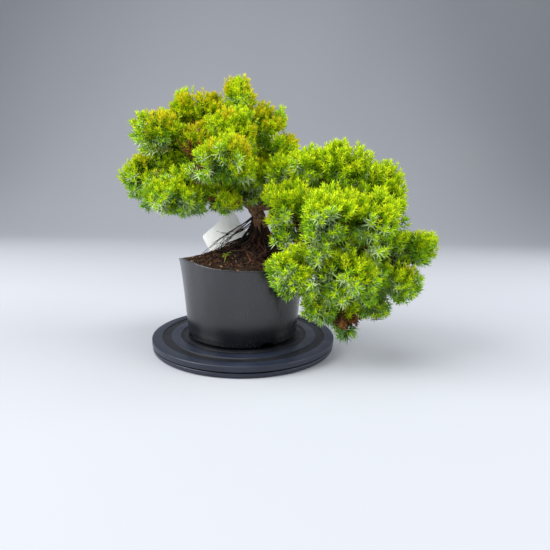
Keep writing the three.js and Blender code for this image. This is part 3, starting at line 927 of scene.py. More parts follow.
def trunk_line():
    """The trunk's middle line and radius, from its flat foot up."""
    corners = corners_of("trunk")
    low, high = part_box("trunk")
    line, radii = [], []
    for level in np.linspace(low.z, high.z, TRUNK_LEVELS):
        near = corners[np.abs(corners[:, 2] - level) < TRUNK_SLICE]
        middle = near.mean(axis=0)
        line.append([middle[0], middle[1], level])
        radii.append(np.percentile(np.linalg.norm(near[:, :2] - middle[:2], axis=1), 60))
    smooth = np.array([0.25, 0.5, 0.25])
    radii = np.convolve(np.pad(radii, 1, mode="edge"), smooth, "valid")
    return np.array(line), radii


AROUND = (0, TURN)
ON_LEFT = (2.85, 3.8)


class BareRoots:
    """One kind of root that has washed bare; lengths are in millimetres and turns in radians.

    "start" is how far up the trunk it leaves, as shares, and a greater "drop" brings it down sooner.
    "young" is the share that still has the redder young bark.
    """

    def __init__(self, count, turns, start, reach, drop, thick, wander, around=5, branched=False, young=0.12):
        self.count = count
        self.turns = turns
        self.start = start
        self.reach = reach
        self.drop = drop
        self.thick = thick
        self.wander = wander
        self.around = around
        self.branched = branched
        self.young = young


BARE_ROOTS = {
    "collar_roots": BareRoots(24, AROUND, (0.5, 0.78), (5, 14), (0.1, 0.7), (1.3, 2.8), 0.9, around=8),
    "stout_roots": BareRoots(50, AROUND, (0.15, 0.66), (14, 38), (0.4, 1.8), (0.8, 1.7), 0.75, around=8),
    "thin_roots": BareRoots(150, AROUND, (0.05, 0.45), (16, 48), (0.4, 2.4), (0.35, 0.8), 1.0, young=0.3),
    "hair_roots": BareRoots(260, AROUND, (0.0, 0.36), (10, 50), (1, 8), (0.18, 0.4), 1.1, young=0.4),
    "free_roots": BareRoots(9, ON_LEFT, (0.42, 0.72), (36, 62), (0.1, 0.6), (0.34, 0.66), 0.6, branched=True),
}


class JUNIPER_OT_wood(bpy.types.Operator):
    """Build the trunk, the boughs and the surface roots with the bark's relief"""

    bl_idname = "juniper.wood"
    bl_label = "Trunk, boughs and roots"

    trunk_sides, root_sides = 110, 36
    fewest_sides, sides_for_radius = 20, 9000  # a bough's sides, and how many more for a metre of radius
    trunk_step, bough_step, root_step = 0.6 * MM, 0.8 * MM, 0.7 * MM
    waist, waist_height = 0.55, 11 * MM  # the trunk narrows to this share at its foot, over this height
    trunk_sunk, root_sunk = 14 * MM, 5 * MM  # how far they go on into the compost and into the trunk
    bough_sunk, bough_on = 1.3, 6 * MM  # radii that a bough starts inside its parent, and its longer tip
    stout = 7 * MM  # a bough of this radius has the trunk's full relief
    fibres = 620

    def execute(self, context):
        settings = context.scene.juniper_wood
        rng = np.random.default_rng(3)
        bark = juniper_bark("juniper_bark", "#2A170E", "#7A543C", "#9C7858")
        root_bark = juniper_bark("juniper_root_bark", "#0B0604", "#2E1C14", "#4C3122")
        young_bark = juniper_bark("juniper_young_bark", "#3E1E10", "#74432D", "#945B3E")
        self.make_boughs(settings, bark, rng)
        self.make_roots(settings, root_bark, rng)
        self.make_fine_roots(settings, [root_bark, young_bark], rng)
        return {"FINISHED"}

    def make_boughs(self, settings, bark, rng):
        """The trunk and all the boughs, as one piece."""
        line, radii = trunk_line()
        radii = radii * np.interp(line[:, 2] - line[0, 2], (0, self.waist_height), (self.waist, 1))
        line, radii = resampled(*lengthened(line, radii, self.trunk_sunk, 0), self.trunk_step)
        limbs = [barked_limb(line, radii, self.trunk_sides, settings.strip, settings.relief, 21)]
        for i, name in enumerate(BOUGHS):
            line, radii = centreline(name, 30, rng)
            longer = lengthened(line, radii, self.bough_sunk * radii[0], self.bough_on)
            line, radii = resampled(*longer, self.bough_step)
            radii = radii * np.linspace(1, 0.8, len(radii))
            around = int(self.fewest_sides + self.sides_for_radius * radii.max())
            depth = settings.relief * min(1, radii.max() / self.stout)
            limbs.append(barked_limb(line, radii, around, settings.strip * 0.7, depth, 40 + 3 * i))
        corners, faces, height = joined_limbs(limbs)
        piece = new_piece("trunk_and_boughs", corners, faces, [bark], relief=height)
        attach(piece, "root")
        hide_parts("trunk", *BOUGHS)

    def make_roots(self, settings, bark, rng):
        """The roots of the frame, with finer bark than the trunk's."""
        strip, relief = settings.strip * 0.5, settings.relief * 0.5
        limbs = []
        for i, name in enumerate(ROOTS):
            line, radii = centreline(name, 24, rng)
            line, radii = resampled(*lengthened(line, radii, self.root_sunk, 0), self.root_step)
            radii = radii * np.linspace(1, 0.6, len(radii))
            limbs.append(barked_limb(line, radii, self.root_sides, strip, relief, 90 + 3 * i))
        corners, faces, height = joined_limbs(limbs)
        piece = new_piece("surface_roots", corners, faces, [bark], relief=height)
        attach(piece, "root")
        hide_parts(*ROOTS)

    def make_fine_roots(self, settings, barks, rng):
        """Roots that have washed bare: stout ones round the foot, a mat of fine ones, and some in the air."""
        ground = Ground()
        line, radii = trunk_line()
        for name, kind in BARE_ROOTS.items():
            count = int(kind.count * settings.bare_roots)
            height = np.interp(rng.uniform(*kind.start, count), np.linspace(0, 1, len(line)), line[:, 2])
            radius = np.interp(height, line[:, 2], radii) * 0.6
            foot = np.stack([np.interp(height, line[:, 2], line[:, i]) for i in (0, 1)], axis=1)
            lines = root_lines(ground, kind, foot, radius, height, rng)
            thickness = rng.uniform(*kind.thick, count)[:, None] * MM * np.linspace(1, 0.35, lines.shape[1])
            thickness = thickness * (1 + 0.2 * smooth_noise(lines / (3 * MM), 4))
            self.lay_roots(name, lines, thickness, kind, barks, rng)
            if kind.branched:
                self.lay_roots(f"{name}_branches", *branch_lines(lines, rng), kind, barks, rng)
        self.strew_fibres(ground, barks, rng)

    def strew_fibres(self, ground, barks, rng):
        """Loose fibres that lie on the compost, each a shallow curve."""
        count, steps = self.fibres, 6
        middle = ground.plan(np.sqrt(rng.random(count)) * (ground.radius - 8 * MM), rng.random(count) * TURN)
        curl = np.linspace(-0.7, 0.7, steps) * rng.normal(0, 1, (count, 1))
        turn = rng.random((count, 1)) * TURN + curl
        step = np.stack([np.cos(turn), np.sin(turn)], axis=-1) * rng.uniform(0.6, 2.2, (count, 1, 1)) * MM
        xy = middle[:, None] + np.cumsum(step, axis=1) - step.sum(axis=1, keepdims=True) / 2
        arch = rng.uniform(0, 1.6, (count, 1)) * np.sin(np.linspace(0, math.pi, steps)) * MM
        lines = np.concatenate([xy, (ground.height(xy) + 0.5 * MM + arch)[..., None]], axis=-1)
        thickness = np.broadcast_to(rng.uniform(0.12, 0.32, (count, 1)) * MM, lines.shape[:2])
        self.lay_roots("loose_fibres", lines, thickness, BARE_ROOTS["hair_roots"], barks, rng)

    def lay_roots(self, name, lines, thickness, kind, barks, rng):
        """Tubes along the lines, a few of them in the redder young bark."""
        count, steps = lines.shape[:2]
        around = kind.around
        near_up = np.tile([0.1, 0.2, 0.97], (count, 1))
        rings = tube_rings(lines, thickness, around, near_up)
        height = (0.5 + 0.3 * rng.standard_normal(count)).repeat(steps * around)
        faces = tube_faces(count, steps, around)[:, ::-1]
        dealt = (rng.random(count) < kind.young).repeat(len(faces) // count).astype(int)
        piece = new_piece(name, rings.reshape(-1, 3), faces, barks, dealt, relief=height)
        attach(piece, "root")


ROOT_STEPS = 26
ROOT_HUMP = 1.8 * MM  # how far a bare root arches off the compost


def root_lines(ground, kind, foot, radius, height, rng):
    """Lines that leave the trunk at a height, fall towards the compost and wander over it."""
    count, share = len(height), np.linspace(0, 1, ROOT_STEPS)
    turn, drop = rng.uniform(*kind.turns, (count, 1)), rng.uniform(*kind.drop, (count, 1))
    seat = np.stack(np.broadcast_arrays(share * 3.5, turn * 9, np.arange(count)[:, None] * 5.7), axis=-1)
    angle = turn + smooth_noise(seat, 8) * kind.wander * share
    out = radius[:, None] + rng.uniform(*kind.reach, (count, 1)) * MM * share
    xy = foot[:, None] + np.stack([out * np.cos(angle), out * np.sin(angle)], axis=-1)
    over = np.linalg.norm(xy - ground.centre, axis=-1) / (ground.radius - 2 * MM)
    xy = ground.centre + (xy - ground.centre) / over.clip(1)[..., None]
    bed = ground.height(xy) + 0.3 * MM
    hump = np.abs(smooth_noise(seat * 1.7, 5)) * ROOT_HUMP * share
    fall = np.exp(-share * drop) * (1 - share)
    return np.concatenate([xy, (bed + hump + (height[:, None] - bed).clip(0) * fall)[..., None]], axis=-1)


def branch_lines(lines, rng, each=3, steps=7):
    """Short side roots on each line, and their thickness."""
    count = each * len(lines)
    parent, at = np.arange(count) // each, rng.integers(5, 19, count)
    start = lines[parent, at]
    along = unit(lines[parent, at + 3] - start)
    heading = unit(along + rng.normal(0, 0.6, (count, 3)) * (1, 1, 0.6))
    end = start + heading * rng.uniform(6, 15, (count, 1)) * MM
    control = start + along * 3 * MM
    t = np.broadcast_to(np.linspace(0, 1, steps), (count, steps))
    grown, _ = bend_through(start[:, None], control[:, None], end[:, None], t)
    return grown, (0.34 - 0.2 * t) * MM


# --- foliage -------------------------------------------------------------------------------------

# Colours of the needles, from the golden tips of young shoots to those that have died back. A "banded"
# needle has the pale stripe of a juniper's inner face.
TONES = {
    "amber": "#D9C61C",
    "gold": "#D8D610",
    "sunlit": "#D8E214",
    "lime": "#BEDC12",
    "fresh": "#9CC81E",
    "leaf": "#7CAF24",
    "deep": "#426816",
    "banded": "#CDE4A6",
    "blue_green": "#7CAC60",
    "shade": "#22390D",
    "rust": "#8C5733",
    "dead": "#5C3A25",
}
TONE_NUMBER = {name: i for i, name in enumerate(TONES)}


class Spray:
    """One kind of spray: its tones, its size against full size, and how much it branches.

    The tones come in pairs for the spray's foot, middle and tip: the needles' inner faces, then their
    backs. Its needles stand out "splay" degrees more than usual.
    """

    def __init__(self, tones, size, splay, side_shoots, length):
        self.tones = [TONE_NUMBER[tone] for tone in tones.split()]
        self.size = size
        self.splay = splay
        self.side_shoots = side_shoots
        self.length = length


SPRAYS = {
    "gold": Spray("lime leaf gold fresh amber gold", 0.84, -2, 7, 1.0),
    "sunny": Spray("fresh leaf sunlit fresh sunlit lime", 0.88, 0, 6, 1.0),
    "lime": Spray("fresh leaf lime fresh sunlit lime", 1.02, 2, 5, 1.0),
    "green": Spray("banded deep banded leaf lime fresh", 1.14, 6, 4, 0.95),
    "starry": Spray("banded deep banded blue_green fresh leaf", 1.22, 11, 3, 0.85),
    "shade": Spray("deep shade leaf deep leaf deep", 1.05, 8, 2, 0.9),
    "dead": Spray("dead dead rust dead rust rust", 0.75, 4, 2, 0.8),
}
KIND = {name: i for i, name in enumerate(SPRAYS)}


def of_kinds(kind, quality):
    """One quality of the kind that each spray is."""
    return np.array([getattr(spray, quality) for spray in SPRAYS.values()])[kind]


class Crown:
    """One part of the crown, and where its kinds of spray grow.

    The light on it grows from its foot to its top. "least" is the least light for green, lime and
    sunny sprays, and "golden" the share of gold among the brightest, at the lower and the upper of
    GOLD_HEIGHTS.
    """

    def __init__(self, foot, top, least, golden):
        self.foot = foot
        self.top = top
        self.least = least
        self.golden = golden


FAN = Crown(60 * MM, 220 * MM, least=(0.31, 0.6, 0.86), golden=(0.04, 0.04))
HEAD = Crown(172 * MM, 275 * MM, least=(0.26, 0.46, 0.64), golden=(0.06, 0.55))
GOLD_HEIGHTS = (185 * MM, 225 * MM)
GOLD_LIGHT = 0.66

# The share of sprays that have died back, usually and where there are many.
USUALLY_DYING = 0.15
DYING = {"core": 0.7, "fan_core": 0.5, "low_centre": 0.6, "fan_bottom": 0.9, "centre_front": 0.3}


class Needling:
    """How one kind of shoot bears its needles, from its foot to its tip."""

    def __init__(self, whorls, bare, longest, shortest, widest, closest, middle, tip):
        self.whorls = whorls
        self.bare = bare
        self.lengths = (longest, shortest)
        self.spreads = (widest, closest)
        self.levels = (middle, tip)


LEADER = Needling(10, bare=0.08, longest=1.0, shortest=0.44, widest=60, closest=32, middle=0.42, tip=0.8)
SIDE_SHOOT = Needling(6, bare=0.14, longest=0.78, shortest=0.44, widest=56, closest=30, middle=0.1, tip=0.62)


class Mass:
    """One mass of foliage from the frame: its surface, its middle, and how much room it has inside."""

    too_small = 14 * MM  # a mass of this radius has no room for inner sprays

    def __init__(self, name):
        self.name = name
        self.crown = FAN if name.startswith("foliage_fan") else HEAD
        self.dying = DYING.get(name.removeprefix("foliage_"), USUALLY_DYING)
        self.corners = corners_of(name)
        self.centre = self.corners.mean(axis=0)
        self.low, self.high = self.corners.min(axis=0), self.corners.max(axis=0)
        self.room = max(0, np.linalg.norm(self.high - self.low) / 2 - self.too_small)
        self.tree = BVHTree.FromPolygons(
            [Vector(p) for p in self.corners], triangles_of(name).tolist(), all_triangles=True
        )

    def holds(self, point):
        """True if the point is inside."""
        if (point < self.low).any() or (point > self.high).any():
            return False
        place, normal, _, _ = self.tree.find_nearest(Vector(point))
        return (Vector(point) - place).dot(normal) < 0


def thinned(points, spacing, order):
    """The numbers of points kept so that no two are nearer than the spacing."""
    kept, taken = [], {}
    cells = np.floor(points / spacing).astype(int)
    around = list(itertools.product((-1, 0, 1), repeat=3))
    for i in order:
        x, y, z = cells[i]
        near = (j for dx, dy, dz in around for j in taken.get((x + dx, y + dy, z + dz), ()))
        if all(((points[i] - points[j]) ** 2).sum() > spacing**2 for j in near):
            kept.append(i)
            taken.setdefault((x, y, z), []).append(i)
    return np.array(kept, int)


def gathered(points, groups, rng):
    """The group that each point falls in, and the groups' middles, by a few rounds of moving them."""
    middles = points[rng.choice(len(points), groups, replace=False)]
    for _ in range(8):
        nearest = ((points[:, None] - middles[None]) ** 2).sum(axis=-1).argmin(axis=1)
        for g in np.unique(nearest):
            middles[g] = points[nearest == g].mean(axis=0)
    return nearest, middles


class Growth:
    """The branching rule: limbs bear main twigs, these bear twigs, and twigs bear sprays of shoots."""

    widest_gap = 24 * MM  # sprays fill the gap beside a mass this far out
    gap_places = 220  # places tried for such sprays, for each mass
    places = 600  # places tried for the other sprays of each mass
    over = 5 * MM  # a place is in the air if no other mass lies this far over it
    club_size = 5  # sprays that lean together, or share a fork
    club_reach = 3.2 * MM  # how unevenly the clubs stand out
    spray_reach = (-2.2 * MM, 1.8 * MM)  # how far each spray stands out, and how unevenly
    crest = 2.5 * MM  # how much less far one does that points straight up
    reach_limits = (-11 * MM, 0.5 * MM)
    leaving, heading_up = math.radians(50), math.radians(16)  # how far side shoots lean from the leader

    def __init__(self, settings):
        self.settings = settings
        self.rng = np.random.default_rng(settings.seed)
        self.masses = [Mass(name) for name in MASSES]
        self.middles = {crown: self.middle_of_crown(crown) for crown in (FAN, HEAD)}
        # main twigs leave a bough past its first quarter
        self.limb_points = np.concatenate([centreline(name, 16, self.rng)[0][4:] for name in BOUGHS])
        self.twigs = []
        self.between = self.find_partings()
        grown = [self.grow_mass(mass) for mass in self.masses]
        self.foot, self.control, self.tip, self.heading, self.kind = (
            np.concatenate([parts[i] for parts in grown]) for i in range(5)
        )

    def middle_of_crown(self, crown):
        """The mean middle of the fan's masses, or of the head's."""
        return np.mean([mass.centre for mass in self.masses if mass.crown is crown], axis=0)

    def in_air(self, points, mass):
        """Which points lie outside every other mass."""
        others = [other for other in self.masses if other is not mass]
        return np.array([not any(other.holds(point) for other in others) for point in points])

    def find_partings(self):
        """Points in the narrow gaps between two masses, listed under the nearer one."""
        between = {mass.name: [] for mass in self.masses}
        points = [self.rng.uniform(mass.low, mass.high, (self.gap_places, 3)) for mass in self.masses]
        for point in np.concatenate(points):
            if any(mass.holds(point) for mass in self.masses):
                continue
            sides = []
            for mass in self.masses:
                place, _, _, distance = mass.tree.find_nearest(Vector(point), self.widest_gap)
                if place is not None:
                    sides.append((distance, mass.name, (place - Vector(point)).normalized()))
            sides.sort(key=lambda side: side[0])
            # the two nearest masses lie on different sides of the point
            if len(sides) > 1 and sides[0][2].dot(sides[1][2]) < 0.2:
                between[sides[0][1]].append(point)
        return between

    def grow_mass(self, mass):
        """The sprays of one mass: feet, controls, tips, headings and kinds."""
        settings, rng = self.settings, self.rng
        points, normals = surface_points(mass.name, self.places, rng)
        outer = self.in_air(points + normals * self.over, mass)
        depth = np.where(outer, rng.uniform(0.45, 0.72, len(points)), rng.uniform(0.6, 0.9, len(points)))
        inside = mass.centre + (points - mass.centre) * depth[:, None]
        deep = rng.choice(len(inside), int(settings.inner * mass.room / MM), replace=False)
        between = np.array(self.between[mass.name]).reshape(-1, 3)
        away = unit(between - self.middles[mass.crown])
        tips, outward = np.concatenate([points[outer], between]), np.concatenate([normals[outer], away])
        kept = thinned(tips, settings.spacing, rng.permutation(len(tips)))
        kind = self.choose_kinds(mass, tips[kept], outward[kept])
        inner_kind = np.where(rng.random(len(deep)) < mass.dying, KIND["dead"], KIND["shade"])
        tips = np.concatenate([tips[kept], inside[deep]])
        outward = np.concatenate([outward[kept], normals[deep]])
        return self.grow_sprays(mass, tips, outward, np.concatenate([kind, inner_kind]))

    def grow_sprays(self, mass, tips, outward, kind):
        """Sprays that leave level and turn up, except under the mass, where they hang."""
        settings, rng = self.settings, self.rng
        count = len(tips)
        upturn = np.interp(outward[:, 2], (-0.9, -0.1), (0.1, settings.upturn))[:, None]
        heading = unit(outward * 0.8 + UP * upturn + rng.normal(0, 0.2, (count, 3)))
        club, middles = gathered(tips, math.ceil(count / self.club_size), rng)
        together = unit(np.array([heading[club == i].sum(axis=0) for i in range(len(middles))]))
        heading = unit(heading + together[club])
        room = np.linalg.norm(tips - mass.centre, axis=1)
        usual = settings.spray * of_kinds(kind, "length")
        length = np.minimum(usual * rng.uniform(0.75, 1.2, count), room * 1.05)[:, None]
        reach = rng.normal(0, self.club_reach, len(middles))[club] + rng.normal(*self.spray_reach, count)
        reach = (reach - outward[:, 2].clip(0) * self.crest).clip(*self.reach_limits)
        tips = tips + (middles[club] - tips) * 0.2 + heading * reach[:, None]
        control = tips - heading * length * 0.5
        foot = control - unit(outward + heading * 0.3 - UP * 0.3) * length * 0.5
        self.grow_twigs(mass, foot)
        return foot, control, tips, heading, kind

    def grow_twigs(self, mass, feet):
        """A main twig from the nearest limb to the mass's middle, and twigs from there to the feet."""
        rng, hub = self.rng, mass.centre
        anchor = self.limb_points[((self.limb_points - hub) ** 2).sum(axis=1).argmin()]
        self.twigs.append((anchor, (anchor + hub) / 2 + rng.normal(0, 4 * MM, 3), hub, 1.4 * MM, 1.0 * MM))
        group, middles = gathered(feet, max(1, len(feet) // self.club_size), rng)
        forks = hub + (middles - hub) * 0.7
        for fork in forks:
            lean = (hub + fork) / 2 + rng.normal(0, 1.5 * MM, 3)
            self.twigs.append((hub, lean, fork, 0.85 * MM, 0.65 * MM))
        for foot, fork in zip(feet, forks[group]):
            lean = (foot + fork) / 2 + rng.normal(0, 1 * MM, 3)
            self.twigs.append((fork, lean, foot, 0.6 * MM, 0.5 * MM))

    def choose_kinds(self, mass, tips, outward):
        """The kind of each spray: bright where the light falls, banded and dark where it doesn't."""
        rng, crown = self.rng, mass.crown
        height = (tips[:, 2] - mass.low[2]) / (mass.high[2] - mass.low[2])
        over = (tips[:, 2] - crown.foot) / (crown.top - crown.foot)
        light = 0.3 + 0.24 * outward[:, 2] + 0.26 * height + 0.26 * over + rng.normal(0, 0.1, len(tips))
        kind = np.full(len(tips), KIND["starry"])
        for name, level in zip(("green", "lime", "sunny"), crown.least):
            kind[light > level] = KIND[name]
        golden = np.interp(tips[:, 2], GOLD_HEIGHTS, crown.golden)
        kind[(light > GOLD_LIGHT) & (rng.random(len(tips)) < golden)] = KIND["gold"]
        withered = (mass.dying - USUALLY_DYING) * np.interp(height, (0.4, 0.8), (1, 0))
        kind[rng.random(len(tips)) < withered] = KIND["dead"]
        if mass.name == "foliage_fan_sprig":
            kind[:] = KIND["starry"]
        return kind

    def side_shoots(self):
        """Shoots that leave each leader in turn, lean out and then sweep up beside it."""
        settings, rng = self.settings, np.random.default_rng(self.settings.seed + 1)
        count, each = len(self.foot), settings.side_shoots
        share = np.linspace(0.26, 0.86, each) + rng.normal(0, 0.03, (count, each))
        base, along = bend_through(self.foot[:, None], self.control[:, None], self.tip[:, None], share)
        azimuth = np.arange(each) * math.radians(137.5) + rng.random((count, 1)) * TURN
        azimuth += rng.normal(0, 0.3, (count, each))
        first, second = square_frame(along, unit(rng.normal(size=(count, 1, 3))))
        lateral = first * np.cos(azimuth)[..., None] + second * np.sin(azimuth)[..., None]
        length = np.linalg.norm(self.tip - self.foot, axis=1)[:, None]
        reach = ((1 - share) * length * 0.8 + 4.5 * MM) * rng.uniform(0.8, 1.15, (count, each))
        first_way = along * math.cos(self.leaving) + lateral * math.sin(self.leaving)
        last_way = self.heading[:, None] * math.cos(self.heading_up) + lateral * math.sin(self.heading_up)
        control = base + first_way * reach[..., None] * 0.48
        tip = control + unit(last_way) * reach[..., None] * 0.52
        borne = of_kinds(self.kind, "side_shoots")
        grown = rng.permuted(np.tile(np.arange(each), (count, 1)), axis=1) < borne[:, None]
        kind = np.broadcast_to(self.kind[:, None], grown.shape)
        return base[grown], control[grown], tip[grown], kind[grown]


PER_WHORL = 3


def grow_needles(foot, control, tip, kind, needling, settings, rng):
    """Corners and tones of every needle on shoots of one kind, shoot by shoot.

    A needle is three faces over a triangular foot: the banded inner face, and two that make its back.
    """
    tones = of_kinds(kind, "tones")
    size = of_kinds(kind, "size")[:, None, None]
    splay = of_kinds(kind, "splay")[:, None]
    count, whorls = len(foot), needling.whorls
    share = (np.linspace(0, 1, whorls) ** 0.85)[None]
    t = np.broadcast_to(needling.bare + (1 - needling.bare) * share, (count, whorls))
    place, along = bend_through(foot[:, None], control[:, None], tip[:, None], t)
    first, second = square_frame(along, unit(rng.normal(size=(count, 1, 3))))
    turn = np.arange(whorls)[:, None] * TURN / (2 * PER_WHORL) + np.arange(PER_WHORL) * TURN / PER_WHORL
    turn = turn + rng.normal(0, 0.16, (count, whorls, PER_WHORL))
    out = first[..., None, :] * np.cos(turn)[..., None] + second[..., None, :] * np.sin(turn)[..., None]
    widest, closest = needling.spreads
    spread = (widest + splay) + (closest - widest) * share**1.4
    spread = np.radians(spread[..., None] + rng.normal(0, 6, (count, whorls, PER_WHORL)))[..., None]
    longest, shortest = needling.lengths
    length = settings.needle * size * (longest + (shortest - longest) * share**1.2)[..., None]
    length = (length * rng.uniform(0.85, 1.12, (count, whorls, PER_WHORL)))[..., None]
    axis = along[..., None, :]
    point = axis * np.cos(spread) + out * np.sin(spread)
    back = out * np.cos(spread) - axis * np.sin(spread)
    side = np.cross(point, back)
    root = place[..., None, :] + out * 0.25 * MM
    half = settings.needle_width / 2 * (0.7 + 0.3 * length / settings.needle)
    foot_corners = [root - side * half, root + side * half, root + back * half * 1.1]
    corners = np.stack([*foot_corners, root + point * length], -2)
    level = (share > needling.levels[0]).astype(int) + (share > needling.levels[1])
    inner = np.take_along_axis(tones, np.broadcast_to(level * 2, (count, whorls)), 1)
    outer = np.take_along_axis(tones, np.broadcast_to(level * 2 + 1, (count, whorls)), 1)
    dealt = np.stack([inner, outer, outer], axis=-1)[:, :, None].repeat(PER_WHORL, axis=2)
    return corners.reshape(-1, 4, 3), dealt.reshape(-1, 3)


class JUNIPER_OT_foliage(bpy.types.Operator):
    """Grow twigs, sprays and needles from the limbs through every mass of foliage"""

    bl_idname = "juniper.foliage"
    bl_label = "Twigs and needles"

    most = 190_000  # triangles in one piece

    def execute(self, context):
        growth = Growth(context.scene.juniper_foliage)
        self.make_needles(growth)
        self.make_twigs(growth)
        return {"FINISHED"}

    def make_needles(self, growth):
        """All the needles, in pieces small enough to export."""
        settings, rng = growth.settings, np.random.default_rng(growth.settings.seed + 2)
        leaders = grow_needles(growth.foot, growth.control, growth.tip, growth.kind, LEADER, settings, rng)
        sides = grow_needles(*growth.side_shoots(), SIDE_SHOOT, settings, rng)
        corners = np.concatenate([leaders[0], sides[0]])
        dealt = np.concatenate([leaders[1], sides[1]])
        materials = [living_leaf(f"needle_{name}", tone) for name, tone in TONES.items()]
        blade = np.array([[0, 1, 3], [1, 2, 3], [2, 0, 3]])
        pieces = math.ceil(dealt.size / self.most)
        for i, chosen in enumerate(np.array_split(np.arange(len(corners)), pieces)):
            faces = (blade + np.arange(len(chosen))[:, None, None] * 4).reshape(-1, 3)
            points, tones = corners[chosen].reshape(-1, 3), dealt[chosen].ravel()
            piece = new_piece(f"needles_{i + 1}", points, faces, materials, tones, smooth=False)
            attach(piece, "root")
            if i == 0:
                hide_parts(*MASSES)

    def make_twigs(self, growth):
        """The brown twigs, and the green stems of the leaders and of their side shoots."""
        rng = np.random.default_rng(growth.settings.seed + 3)
        brown = living_leaf("twig_bark", "#7A4A30", 0.8)
        green = living_leaf("young_stem", "#B09A38", 0.6)
        start, lean, end, thick, thin = (np.array([twig[i] for twig in growth.twigs]) for i in range(5))
        self.make_tubes("twigs", (start, lean, end), (thick, thin), 5, 5, brown, rng)
        leaders = (growth.foot, growth.control, growth.tip)
        sides = growth.side_shoots()[:3]
        self.make_tubes("leader_stems", leaders, (0.6 * MM, 0.35 * MM), 6, 4, green, rng)
        self.make_tubes("side_stems", sides, (0.4 * MM, 0.25 * MM), 3, 3, green, rng)

    def make_tubes(self, name, curves, ends, steps, around, material, rng):
        """Tubes along the curves, as one piece that tapers between two radii."""
        count = len(curves[0])
        t = np.broadcast_to(np.linspace(0, 1, steps), (count, steps))
        line, _ = bend_through(*(part[:, None] for part in curves), t)
        thick, thin = (np.broadcast_to(end, count)[:, None] for end in ends)
        rings = tube_rings(line, thick + (thin - thick) * t, around, unit(rng.normal(size=(count, 3))))
        piece = new_piece(name, rings.reshape(-1, 3), tube_faces(count, steps, around)[:, ::-1], [material])
        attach(piece, "root")


# --- stage ---------------------------------------------------------------------------------------


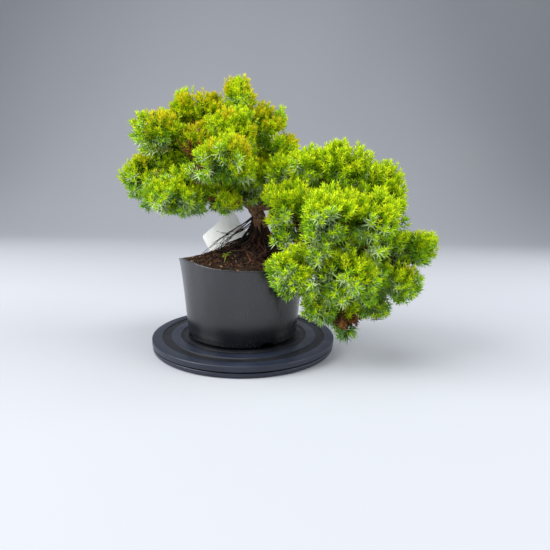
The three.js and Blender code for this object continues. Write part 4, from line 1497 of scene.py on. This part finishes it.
class JUNIPER_OT_stage(bpy.types.Operator):
    """Lay the pale floor, hang the soft lights and place the camera"""

    bl_idname = "juniper.stage"
    bl_label = "Stage"

    near_edge, half_width, bend, height = -3.0, 4.0, 1.2, 4.0  # of the sheet that makes floor and wall
    lights = {  # the place of each, the side of its square and its power in watts
        "window_left": ((-1.4, -0.5, 1.2), 1.3, 51),
        "window_right": ((1.3, -0.1, 0.9), 1.0, 22),
        "ceiling": ((-0.1, -0.3, 1.8), 1.4, 22),
    }
    lit_point = Vector((0, 0, 0.12))
    room_light = 0.36

    def execute(self, context):
        self.lay_floor()
        self.hang_lights(context.scene)
        self.place_camera(context.scene)
        return {"FINISHED"}

    def lay_floor(self):
        """A sheet that runs level and then sweeps up behind."""
        bend = self.bend
        sweep = [(self.near_edge, 0.0), (bend, 0.0)]
        for turn in np.linspace(0.1, math.pi / 2, 14):
            sweep.append((bend + math.sin(turn) * bend, bend - math.cos(turn) * bend))
        sweep.append((2 * bend, self.height))
        corners = np.array([(x, y, z) for y, z in sweep for x in (-self.half_width, self.half_width)])
        faces = np.array([(2 * i, 2 * i + 1, 2 * i + 3, 2 * i + 2) for i in range(len(sweep) - 1)])
        floor = new_piece("floor", corners, faces, [painted_room("matt_emulsion", "#A6A9B0", "#ABAEB4")])

    def hang_lights(self, scene):
        """Large soft lights that the camera doesn't see, in a pale room."""
        for name, (place, size, power) in self.lights.items():
            light = bpy.data.lights.new(name, "AREA")
            light.shape = "SQUARE"
            light.size = size
            light.energy = power
            lamp = bpy.data.objects.new(name, light)
            lamp.location = place
            lamp.visible_camera = False
            lamp.rotation_euler = (self.lit_point - Vector(place)).to_track_quat("-Z", "Y").to_euler()
            scene.collection.objects.link(lamp)
        world = bpy.data.worlds.new("soft_room")
        world.use_nodes = True
        background = world.node_tree.nodes["Background"]
        background.inputs["Color"].default_value = linear("#E8EDF5")
        background.inputs["Strength"].default_value = self.room_light
        scene.world = world
        scene.view_settings.view_transform = "Standard"

    def place_camera(self, scene):
        """The camera, which looks along Y, down a little, and leans."""
        settings = scene.juniper_stage
        camera = bpy.data.cameras.new("camera")
        camera.lens = settings.lens
        camera.sensor_width = 36
        eye = bpy.data.objects.new("camera", camera)
        eye.location = settings.camera
        look = Vector((0, math.cos(settings.pitch), -math.sin(settings.pitch)))
        eye.rotation_euler = look.to_track_quat("-Z", "Y").to_euler()
        eye.rotation_euler.rotate_axis("Z", settings.roll)
        scene.collection.objects.link(eye)
        scene.camera = eye


# --- the panel and the order of work -------------------------------------------------------------

STEPS = (
    JUNIPER_OT_stage,
    JUNIPER_OT_stand,
    JUNIPER_OT_pot,
    JUNIPER_OT_compost,
    JUNIPER_OT_label,
    JUNIPER_OT_wood,
    JUNIPER_OT_foliage,
)

SETTINGS = {
    "juniper_stand": StandSettings,
    "juniper_pot": PotSettings,
    "juniper_compost": CompostSettings,
    "juniper_wood": WoodSettings,
    "juniper_foliage": FoliageSettings,
    "juniper_stage": StageSettings,
}


class JUNIPER_PT_panel(bpy.types.Panel):
    """Lists the sizes and colours, and the steps that make the pieces"""

    bl_idname = "JUNIPER_PT_panel"
    bl_label = "Potted juniper"
    bl_space_type = "VIEW_3D"
    bl_region_type = "UI"
    bl_category = "Juniper"

    def draw(self, context):
        for name in SETTINGS:
            box = self.layout.box()
            settings = getattr(context.scene, name)
            for key in settings.__annotations__:
                box.prop(settings, key)
        for step in STEPS:
            self.layout.operator(step.bl_idname)


def register():
    """Adds the settings, the steps and the panel to Blender."""
    for group in SETTINGS.values():
        bpy.utils.register_class(group)
    for name, group in SETTINGS.items():
        setattr(bpy.types.Scene, name, bpy.props.PointerProperty(type=group))
    for made in (*STEPS, JUNIPER_PT_panel):
        bpy.utils.register_class(made)


def unregister():
    """Takes the panel, the steps and the settings out of Blender again."""
    for made in (JUNIPER_PT_panel, *reversed(STEPS)):
        bpy.utils.unregister_class(made)
    for name, group in SETTINGS.items():
        delattr(bpy.types.Scene, name)
        bpy.utils.unregister_class(group)


def main():
    """Makes every piece in turn."""
    register()
    for step in STEPS:
        group, action = step.bl_idname.split(".")
        getattr(getattr(bpy.ops, group), action)()


if __name__ == "__main__":
    main()
